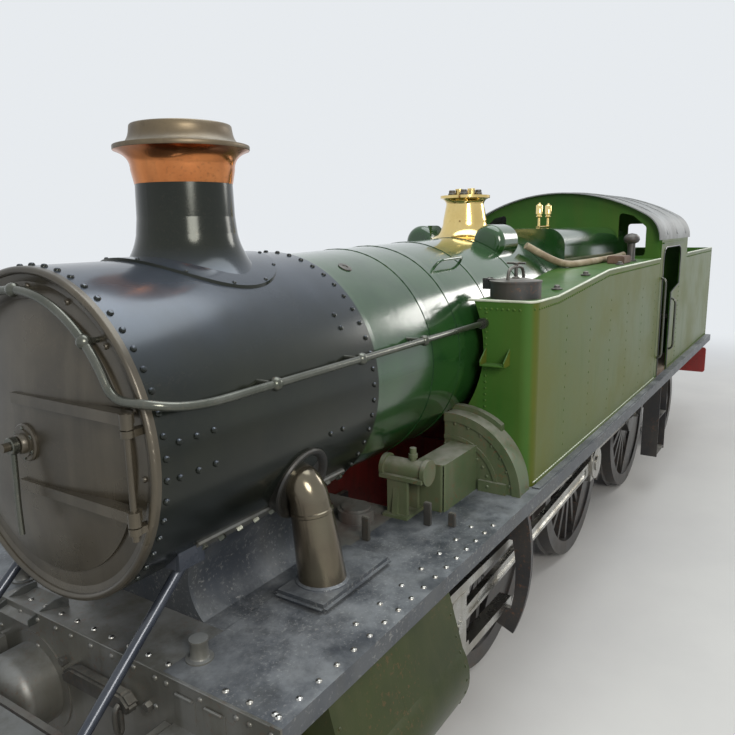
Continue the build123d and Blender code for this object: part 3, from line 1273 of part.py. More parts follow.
def cab_front():
    """Front sheet with its two spectacle windows, fitted round the firebox."""
    sheet = cab_section(ROOF_T + SEAT, PLATE_Z)
    window = fillet(outline_face(*SPECTACLE).vertices(), 40)
    sheet -= window
    sheet -= mirror(window, about=Plane.YZ)
    fit = FIREBOX_HALF_WIDTH + SEAT
    hole = outline_face((-fit, 1000), (fit, 1000), (fit, FIREBOX_TOP_Z + SEAT), (-fit, FIREBOX_TOP_Z + SEAT))
    hole = fillet(hole.vertices().group_by(Axis.Y)[-1], FIREBOX_CORNER_R)
    sheet -= hole
    for side in (LEFT, RIGHT):
        sheet -= Pos(side * (COVER_INNER_Y + TANK_INNER_Y) / 2, PLATE_Z) * Rectangle(
            TANK_INNER_Y - COVER_INNER_Y, 2 * (WHEEL_COVER_Z - PLATE_Z)
        )
    return cross_plate(sheet, CAB_FRONT_X - SHEET_T, CAB_FRONT_X - SEAT)


def cab_side():
    """Left cab side with the doorway cut through it."""
    eave_z = cab_outline(0)[0][1]
    side = block(
        CAB_REAR_X, CAB_FRONT_X - SHEET_T - SEAT, BODY_HALF_WIDTH - SHEET_T, BODY_HALF_WIDTH,
        PLATE_Z, EAVE_Z - SEAT,
    )
    doorway = side_plane(BODY_HALF_WIDTH - 50) * fillet(
        outline_face(
            (DOORWAY_FRONT_X, PLATE_Z - 50), (DOORWAY_FRONT_X, 3050), (DOORWAY_REAR_X - 500, 3050),
            (DOORWAY_REAR_X - 500, 2560), (DOORWAY_REAR_X, 2480), (DOORWAY_REAR_X, PLATE_Z - 50),
        ).vertices().group_by(Axis.Y)[-1],
        120,
    )
    return side - extrude(doorway, amount=100, dir=(0, 1, 0))


def cab_floor():
    """Wooden floor behind the firebox, with the covers over the trailing coupled wheels."""
    half = BODY_HALF_WIDTH - SHEET_T - SEAT
    top = CAB_FLOOR_Z + CAB_FLOOR_T
    floor = block(CAB_REAR_X + SEAT, CAB_FRONT_X - SHEET_T - SEAT, -half, half, CAB_FLOOR_Z, top)
    floor -= block(FIREBOX_REAR_X - SEAT, 0, -COVER_INNER_Y, COVER_INNER_Y, 0, 2 * top)
    cover_end = TRAILING_X - sqrt((AXLE_Z + FLANGE_DEPTH) ** 2 - (CAB_FLOOR_Z - AXLE_Z) ** 2) - 30
    for side in (LEFT, RIGHT):
        inner = side * COVER_INNER_Y
        outer = side * TANK_INNER_Y
        shell = block(cover_end, CAB_FRONT_X + 40, inner, outer, CAB_FLOOR_Z, WHEEL_COVER_Z)
        floor -= block(cover_end, CAB_FRONT_X + 40, inner, outer, 0, 2 * top)
        shell -= block(
            cover_end + COVER_SHEET_T, CAB_FRONT_X + 100, inner + side * COVER_SHEET_T,
            outer - side * COVER_SHEET_T, 0, WHEEL_COVER_Z - COVER_SHEET_T,
        )
        shell -= block(CAB_FRONT_X - SHEET_T - SEAT, CAB_FRONT_X + 100, inner, outer, 0, 2 * WHEEL_COVER_Z)
        floor += shell
    return floor


def bunker():
    """Open coal bunker with a sloping floor over the rear tank."""
    wall = SHEET_T
    outer = block(BUNKER_REAR_X, CAB_REAR_X - SEAT, -BODY_HALF_WIDTH, BODY_HALF_WIDTH, PLATE_Z, BUNKER_TOP_Z)
    space = side_plate(
        [
            (BUNKER_REAR_X + wall, BUNKER_TOP_Z + 50), (BUNKER_REAR_X + wall, BUNKER_FLOOR_Z + 380),
            (CAB_REAR_X - 900, BUNKER_FLOOR_Z), (CAB_REAR_X - wall, BUNKER_FLOOR_Z),
            (CAB_REAR_X - wall, BUNKER_TOP_Z + 50),
        ],
        -BODY_HALF_WIDTH + wall, BODY_HALF_WIDTH - wall,
    )
    return outer - space


def cab_back():
    """Rear sheet above the bunker with two windows."""
    sheet = cab_section(ROOF_T + SEAT, BUNKER_TOP_Z + SEAT)
    window = Pos(620, 3160) * RectangleRounded(420, 330, 40)
    sheet -= window
    sheet -= mirror(window, about=Plane.YZ)
    return cross_plate(sheet, CAB_REAR_X - SHEET_T, CAB_REAR_X - SEAT)


# Brakes, steps and cab fittings

BRAKE_GAP = 15
BRAKE_SHOE_T = 60
BRAKE_SHOE_Y = (700, 800)
BRAKE_SHOE_DROP = (20, 330)
BRAKE_PIN_Z = 1330
BRAKE_BEAM_Z = 470
BRAKE_BEAM_R = 34
HANGER_T = 32
HANGER_WIDTH = 36


def brake_gear():
    """Shoes behind the coupled wheels, their hangers on frame pins and the cross beams below."""
    gear = []
    shoe_r = AXLE_Z + FLANGE_DEPTH + BRAKE_GAP
    hanger_y = sum(BRAKE_SHOE_Y) / 2
    for x in (LEADING_X, DRIVING_X, TRAILING_X):
        back_x = x - shoe_r - BRAKE_SHOE_T
        shoe = block(
            back_x, x - AXLE_Z + 60, *BRAKE_SHOE_Y, AXLE_Z - BRAKE_SHOE_DROP[1], AXLE_Z - BRAKE_SHOE_DROP[0]
        )
        shoe -= bar_y(x, AXLE_Z, shoe_r, 0, 2 * hanger_y)
        hanger_x = back_x - PIN_FIT
        hanger = block(
            hanger_x - HANGER_T, hanger_x, hanger_y - HANGER_WIDTH / 2, hanger_y + HANGER_WIDTH / 2,
            BRAKE_BEAM_Z + BRAKE_BEAM_R + PIN_FIT, BRAKE_PIN_Z + 40,
        )
        hanger += bar_y(hanger_x - HANGER_T / 2, BRAKE_PIN_Z, 24, FRAME_OUTER_Y, hanger_y)
        beam = bar_y(hanger_x - HANGER_T / 2, BRAKE_BEAM_Z, BRAKE_BEAM_R, -hanger_y - 50, hanger_y + 50)
        gear += both(shoe) + both(hanger) + [beam]
    return gear


STEP_X = (-6700, -6260)
STEP_TREADS_Z = (520, 980)


def cab_steps():
    """Left step plates and treads below the cab doorway."""
    steps = Part()
    outer = PLATE_HALF_WIDTH - 20
    for x in (STEP_X[0], STEP_X[1] - 12):
        steps += block(x, x + 12, outer - 190, outer, STEP_TREADS_Z[0] - 30, PLATE_UNDER_Z)
    for z in STEP_TREADS_Z:
        steps += block(*STEP_X, outer - 190, outer, z, z + 12)
        steps += block(*STEP_X, outer - 190, outer - 178, z, z + 110)
    return steps


BACKHEAD_T = 26
BACKHEAD_HALF_WIDTH = 580
BACKHEAD_RISE = 330
GAUGE_GLASS_Y = 330
GAUGE_GLASS_Z = (2560, 2800)
DIAL_R = 72
DIALS_Y = (-190, 0, 190)
DIAL_Z = 3060
FIREHOLE_Z = (1960, 2240)
REGULATOR_Z = 2860


def backhead():
    """Firebox backplate with its firehole doors, gauge glasses, dials and regulator."""
    back = FIREBOX_REAR_X
    face = back - BACKHEAD_T
    seat = face + BACKHEAD_T / 2
    fit = block(
        face, back, -BACKHEAD_HALF_WIDTH, BACKHEAD_HALF_WIDTH, CAB_FLOOR_Z + BACKHEAD_RISE,
        DIAL_Z + DIAL_R + BACKHEAD_T,
    )
    for side in (LEFT, RIGHT):
        fit += block(face - 22, seat, side * 12, side * 215, *FIREHOLE_Z)
        for z in GAUGE_GLASS_Z:
            fit += bar_x(side * GAUGE_GLASS_Y, z, 26, face - 70, seat)
        fit += bar_z(face - 45, side * GAUGE_GLASS_Y, 13, GAUGE_GLASS_Z[0] - 8, GAUGE_GLASS_Z[1] + 8)
    fit += bar_x(0, REGULATOR_Z, 50, face - 80, seat)
    fit += block(face - 75, face - 55, -30, 250, REGULATOR_Z - 16, REGULATOR_Z + 16)
    for y in DIALS_Y:
        fit += bar_x(y, DIAL_Z, DIAL_R, face - 45, seat)
    return fit


REVERSER_X = (-6990, -6690)
REVERSER_Y = (-860, -760)
STAND_X = -7370
SEAT_X = (-7690, -7400)
SEAT_Y = (700, 1100)
SEAT_RISE = 520


def cab_fittings():
    """Backhead, reverser on the right wheel cover, brake stand and the two seats."""
    wheel_z = WHEEL_COVER_Z + 330
    reverser = block(*REVERSER_X, *REVERSER_Y, WHEEL_COVER_Z, WHEEL_COVER_Z + 380)
    reverser += bar_y(sum(REVERSER_X) / 2, wheel_z, 120, REVERSER_Y[1] - 10, REVERSER_Y[1] + 20)
    floor = CAB_FLOOR_Z + CAB_FLOOR_T
    stand = block(STAND_X - 30, STAND_X + 30, -1060, -1000, floor, floor + 900)
    seat = block(*SEAT_X, *SEAT_Y, floor + SEAT_RISE, floor + SEAT_RISE + 40)
    seat += block(SEAT_X[0] + 90, SEAT_X[1] - 90, 840, 960, floor, floor + SEAT_RISE + 10)
    return [backhead(), reverser, stand] + both(seat)


# Trucks

TRUCK_BOX_INNER_Y = 480
TRUCK_BOX_OUTER_Y = 600


def truck_frame(axle_x, dia, pivot_x):
    """Truck frame with its axleboxes, cross stays and the arm to the pivot eye."""
    axle_z = dia / 2
    ahead = 1 if axle_x > pivot_x else -1
    frame = Part()
    for side in (LEFT, RIGHT):
        y0 = TRUCK_BOX_INNER_Y * side
        y1 = TRUCK_BOX_OUTER_Y * side
        frame += block(axle_x - 130, axle_x + 130, y0, y1, axle_z - 130, axle_z + 130)
        frame += block(axle_x - 420, axle_x + 420, y0, y0 + 30 * side, axle_z - 60, axle_z + 60)
    for offset in (-420, 390):
        frame += block(
            axle_x + offset, axle_x + offset + 30, -TRUCK_BOX_INNER_Y - 30, TRUCK_BOX_INNER_Y + 30,
            axle_z - 60, axle_z + 60,
        )
    start_x = axle_x - ahead * 400
    arm = Polyline(
        (start_x, -TRUCK_BOX_INNER_Y), (pivot_x, -60), (pivot_x, 60), (start_x, TRUCK_BOX_INNER_Y), close=True
    )
    plate = extrude(Pos(0, 0, axle_z - 20) * make_face(arm), amount=40)
    frame += plate
    frame += bar_z(pivot_x, 0, 90, axle_z - EYE_HALF_HEIGHT, axle_z + EYE_HALF_HEIGHT)
    eye_reach = 2 * EYE_HALF_HEIGHT
    frame -= bar_z(pivot_x, 0, PIVOT_PIN_R + PIN_FIT, axle_z - eye_reach, axle_z + eye_reach)
    frame -= bar_y(axle_x, axle_z, SMALL_AXLE_R + PIN_FIT, -TYRE_INNER_Y, TYRE_INNER_Y)
    return frame


os.makedirs("parts", exist_ok=True)

save("leading_wheelset", coupled_wheelset(LEADING_X, LIGHT_WEIGHT_DEPTH, CAP_END_Y))
save("driving_wheelset", coupled_wheelset(DRIVING_X, HEAVY_WEIGHT_DEPTH, CON_INNER_Y - SIDE_GAP))
save("trailing_wheelset", coupled_wheelset(TRAILING_X, LIGHT_WEIGHT_DEPTH, CAP_END_Y))
save("pony_wheelset", carrying_wheelset(PONY_X, PONY_DIA, PONY_SPOKES))
save("radial_wheelset", carrying_wheelset(RADIAL_X, RADIAL_DIA, RADIAL_SPOKES))
save("pony_truck", truck_frame(PONY_X, PONY_DIA, PONY_PIVOT_X))
save("radial_truck", truck_frame(RADIAL_X, RADIAL_DIA, RADIAL_PIVOT_X))
for side, word in ((LEFT, "left"), (RIGHT, "right")):
    save(f"coupling_rod_{word}", coupling_rod(side))
    save(f"connecting_rod_{word}", connecting_rod(side))
    save(f"crosshead_{word}", crosshead(side))
save("main_frames", both(main_frame()))
save("axleboxes", axleboxes())
save("leaf_springs", leaf_springs())
save("frame_stretchers", frame_stretchers())
for word, face_x, direction in ENDS:
    save(f"{word}_buffer_beam", buffer_beam(face_x, face_x - direction * BEAM_T))
    save(f"{word}_buffers", buffers(face_x, direction))
save("draw_hooks", [draw_hook(face_x, direction) for word, face_x, direction in ENDS])
save("running_plates", running_plate())
save("front_platform", front_platform())
save("cylinders", [piece for casting in cylinder() for piece in both(casting)])
save("slide_bars", [piece for bar in slide_bars() for piece in both(bar)])
save("motion_brackets", both(motion_bracket()))
save("brake_gear", brake_gear())
save("cab_steps", both(cab_steps()))
save("splashers", both(splasher()))
save("tank_arches", both(tank_arch()))
save("rocker_bearings", both(rocker_bearing()))
save("front_stays", both(front_stay()))
save("feed_covers", both(feed_cover()))
save("handrail", handrail())
save("cab_fittings", cab_fittings())
save("smokebox_saddle", smokebox_saddle())
save("smokebox_shell", smokebox_shell())
save("smokebox_front", smokebox_front())
save("smokebox_door", smokebox_door())
save("blast_pipe", blast_pipe())
save("chimney", chimney())
save("chimney_cap", chimney_cap())
save("boiler_barrel", boiler_barrel())
save("firebox", firebox())
save("ashpan", ashpan())
save("safety_valve", safety_valve())
save("steam_pipes", both(steam_pipe()))
save("side_tanks", both(side_tank()))
save("filler_necks", both(filler_neck()))
save("tank_lid_left", tank_lid())
save("tank_lid_right", handed(tank_lid(), RIGHT))
save("cab_roof", cab_roof())
save("cab_front", cab_front())
save("cab_sides", both(cab_side()))
save("cab_floor", cab_floor())
save("cab_back", cab_back())
save("bunker", bunker())
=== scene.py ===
# %% [markdown]
# # Dressing a side-tank steam locomotive
# The engine arrives as plain solids in metres: forward is +X, its left side is +Y and up is +Z.
# Everything here is laid over those solids, so a rivet can find its plate by looking for it.
# We load them first, because every later cell asks them where a surface is.

# %% Load the engine
import math
import random
import bmesh
import bpy
from mathutils import Matrix, Vector
from mathutils.bvhtree import BVHTree


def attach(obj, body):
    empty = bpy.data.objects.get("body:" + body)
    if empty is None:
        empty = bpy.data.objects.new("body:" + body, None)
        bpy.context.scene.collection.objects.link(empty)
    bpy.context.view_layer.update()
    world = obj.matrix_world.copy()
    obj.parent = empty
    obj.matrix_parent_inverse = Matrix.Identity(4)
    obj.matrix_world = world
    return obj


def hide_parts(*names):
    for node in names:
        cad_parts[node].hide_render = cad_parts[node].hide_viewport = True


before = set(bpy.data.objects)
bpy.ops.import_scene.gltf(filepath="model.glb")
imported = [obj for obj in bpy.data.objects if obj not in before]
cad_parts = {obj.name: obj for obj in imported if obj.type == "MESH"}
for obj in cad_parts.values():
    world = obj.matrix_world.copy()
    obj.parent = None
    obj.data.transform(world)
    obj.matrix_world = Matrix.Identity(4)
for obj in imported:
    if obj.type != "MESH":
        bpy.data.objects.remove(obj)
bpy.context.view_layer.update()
random.seed(61)

# %% [markdown]
# The builder of the real engine measured from the chimney centre line and from the rail top.
# The solids measure from the middle of the length and from the flange tips.
# One small function turns the first kind of measure, in millimetres, into the second, in metres,
# and another turns it back. Most pieces come in pairs, so a third mirrors a row of points.

# %% Measure from the chimney and the rail
CHIMNEY_X = 4400.0
RAIL_Z = 28.0
MM = 0.001
SIDES = (("left", 1.0), ("right", -1.0))


def at(x, y, z):
    """A place given in millimetres from the chimney line, the centre line and the rail top."""
    return Vector(((x + CHIMNEY_X) * MM, y * MM, (z + RAIL_Z) * MM))


def in_mm(place):
    """The opposite of at: millimetres for a place in metres."""
    return (place.x / MM - CHIMNEY_X, place.y / MM, place.z / MM - RAIL_Z)


def mirrored(points, way):
    """The same points on the left side, where way is 1, or on the right, where it is -1."""
    return [(x, way * y, z) for x, y, z in points]


print("chimney foot:", at(0, 0, 3195))

# %% [markdown]
# The camera stands where the photographer stood: high, close to the front corner, looking back
# along the left side. Its three axes were worked out from straight edges of the engine.
# We make it first, so that each later piece can be judged in the same view.

# %% The photographer's place
CAMERA_PLACE = Vector((6.982, 2.807, 3.354))
CAMERA_RIGHT = Vector((-0.54720, 0.83685, -0.01593))
CAMERA_UP = Vector((-0.17242, -0.09407, 0.98052))
LENS_MM = 34.18
SENSOR_MM = 36.0
NEAREST = 0.05
FARTHEST = 400.0

lens = bpy.data.cameras.new("lineside_camera")
lens.lens = LENS_MM
lens.sensor_width = SENSOR_MM
lens.clip_start = NEAREST
lens.clip_end = FARTHEST
camera = bpy.data.objects.new("lineside_camera", lens)
bpy.context.scene.collection.objects.link(camera)
turn = Matrix((CAMERA_RIGHT, CAMERA_UP, CAMERA_RIGHT.cross(CAMERA_UP))).transposed()
camera.matrix_world = Matrix.Translation(CAMERA_PLACE) @ turn.to_4x4()
bpy.context.scene.camera = camera
print("camera height above the floor:", CAMERA_PLACE.z)

# %% [markdown]
# A material is a tree of nodes. The same few steps come back in all of them: a noise, a range
# that is stretched, a sum, a place on the object and the way a surface faces. Each gets a
# function that adds the node and hands back its output. The first one, feed, lets every input
# take either a plain value or the output of another node.

# %% Helpers for node trees
def feed(tree, value, socket):
    """Gives a socket a number or a colour, or links another node's output to it."""
    if isinstance(value, bpy.types.NodeSocket):
        tree.links.new(value, socket)
    else:
        socket.default_value = (*value, 1.0) if isinstance(value, tuple) else value


def noise(tree, where, size, detail=4.0, rough=0.6):
    """A noise over a place."""
    node = tree.nodes.new("ShaderNodeTexNoise")
    names = ("Vector", "Scale", "Detail", "Roughness")
    for name, value in zip(names, (where, size, detail, rough)):
        feed(tree, value, node.inputs[name])
    return node.outputs["Fac"]


def between(tree, value, low, high, out_low=0.0, out_high=1.0):
    """Stretches a value that lies from low to high."""
    node = tree.nodes.new("ShaderNodeMapRange")
    node.interpolation_type = "SMOOTHSTEP"
    names = ("Value", "From Min", "From Max", "To Min", "To Max")
    for name, number in zip(names, (value, low, high, out_low, out_high)):
        feed(tree, number, node.inputs[name])
    return node.outputs["Result"]


def sums(tree, kind, first, second=0.0):
    """One step of arithmetic."""
    node = tree.nodes.new("ShaderNodeMath")
    node.operation = kind
    feed(tree, first, node.inputs[0])
    feed(tree, second, node.inputs[1])
    return node.outputs[0]


def place_on(tree, stretch=(1.0, 1.0, 1.0)):
    """The place on the object, stretched along its axes."""
    where = tree.nodes.new("ShaderNodeTexCoord")
    mapped = tree.nodes.new("ShaderNodeMapping")
    mapped.inputs["Scale"].default_value = stretch
    tree.links.new(where.outputs["Object"], mapped.inputs["Vector"])
    return mapped.outputs["Vector"]


def part_of(tree, vector, axis):
    """One of the three numbers of a vector."""
    split = tree.nodes.new("ShaderNodeSeparateXYZ")
    tree.links.new(vector, split.inputs[0])
    return split.outputs[axis]


def facing(tree, axis):
    """How far the surface faces along one axis."""
    return part_of(tree, tree.nodes.new("ShaderNodeNewGeometry").outputs["Normal"], axis)


print("node helpers ready")

# %% [markdown]
# Paint on an engine is never one colour. Rain draws streaks, dust settles on top, thin plate
# ripples, and the paint chips. Each of these is one effect that many finishes share, so each
# becomes a node group with its own named sockets. A small helper makes a group and its sockets.

# %% A helper for shared effects
NUMBER = "NodeSocketFloat"


def new_effect(name, takes, gives):
    """A node group that takes numbers and gives one: the group, its inputs and its way out."""
    effect = bpy.data.node_groups.new(name, "ShaderNodeTree")
    for socket, usual in takes.items():
        made = effect.interface.new_socket(socket, in_out="INPUT", socket_type=NUMBER)
        made.default_value = usual
    effect.interface.new_socket(gives, in_out="OUTPUT", socket_type=NUMBER)
    start = effect.nodes.new("NodeGroupInput")
    end = effect.nodes.new("NodeGroupOutput")
    print("effect:", name, "takes", list(takes))
    return effect, start.outputs, end.inputs[gives]


print("each socket is a", NUMBER)

# %% [markdown]
# Dust lies only where it can rest. The real pattern is thick in the corners and thin where a
# boot or a cloth has passed, so the upward-facing part of the surface is broken up by noise.

# %% Effect: settled dust
dust_effect, taken, given = new_effect("settled_dust", {"Patch size": 3.0, "Cover": 0.6}, "Dust")
upward = between(dust_effect, facing(dust_effect, "Z"), low=0.25, high=0.95)
broad = noise(dust_effect, place_on(dust_effect), taken["Patch size"], detail=6.0, rough=0.7)
broken = between(dust_effect, broad, low=0.34, high=0.66)
lying = sums(dust_effect, "MULTIPLY", upward, broken)
feed(dust_effect, sums(dust_effect, "MULTIPLY", lying, taken["Cover"]), given)

# %% [markdown]
# Rain carries soot down a tank side in long pale and dark lines. Squeezing the noise along Z
# turns round blotches into such lines, and leaves tops alone because they have no height.

# %% Effect: rain streaks
STREAK_SHAPE = (1.0, 1.0, 0.09)
streak_effect, taken, given = new_effect(
    "rain_streaks", {"Streak size": 7.0, "Strength": 0.5}, "Streak"
)
tall = place_on(streak_effect, STREAK_SHAPE)
lines = noise(streak_effect, tall, taken["Streak size"], detail=5.0, rough=0.62)
sharp = between(streak_effect, lines, low=0.42, high=0.68)
feed(streak_effect, sums(streak_effect, "MULTIPLY", sharp, taken["Strength"]), given)

# %% [markdown]
# Chips and specks are small and have hard edges. They crowd together where the plate is
# knocked, so a fine noise is cut high and then let through only where a broad noise allows it.

# %% Effect: chips and specks
CROWD_SIZE = 2.3
chip_effect, taken, given = new_effect(
    "chips_and_specks", {"Speck size": 60.0, "Share": 0.3}, "Chip"
)
fine = noise(chip_effect, place_on(chip_effect), taken["Speck size"], detail=3.0, rough=0.7)
hard = between(chip_effect, fine, low=0.56, high=0.64)
crowd = noise(chip_effect, place_on(chip_effect), CROWD_SIZE, detail=4.0, rough=0.7)
specks = sums(chip_effect, "MULTIPLY", hard, between(chip_effect, crowd, low=0.4, high=0.62))
feed(chip_effect, sums(chip_effect, "MULTIPLY", specks, taken["Share"]), given)

# %% [markdown]
# Soot and old oil give broad, soft blotches that have no direction.

# %% Effect: sooty blotches
blotch_effect, taken, given = new_effect("sooty_blotches", {"Blotch size": 1.6}, "Blotch")
soft = noise(blotch_effect, place_on(blotch_effect), taken["Blotch size"], detail=5.0, rough=0.58)
feed(blotch_effect, between(blotch_effect, soft, low=0.3, high=0.7), given)

# %% [markdown]
# Plate that is riveted to a frame pulls in a little at each rivet, and brushed paint has a fine
# skin. A slow noise and a fast noise added together give a height for the Bump node of each
# finish. Only the height is shared: how strong it is belongs to the finish.

# %% Effect: rippled plate
SKIN_SHARE = 0.045
ripple_effect, taken, given = new_effect(
    "rippled_plate", {"Ripple size": 1.8, "Skin size": 90.0}, "Height"
)
slow = noise(ripple_effect, place_on(ripple_effect), taken["Ripple size"], detail=1.5, rough=0.4)
skin = noise(ripple_effect, place_on(ripple_effect), taken["Skin size"], detail=3.0, rough=0.6)
faint = sums(ripple_effect, "MULTIPLY", skin, SKIN_SHARE)
feed(ripple_effect, sums(ripple_effect, "ADD", slow, faint), given)

# %% [markdown]
# Every finish is a row of the same kind of numbers: two tones and the size of the blotches that
# mix them, the colour and strength of its rain streaks, its dust, its chips with the size of a
# speck, how much it is a metal, its roughness where clean and where worn, its clear coat, and
# the size and strength of its ripples. The table keeps the rows side by side, so that a change
# to one finish can be weighed against the others.

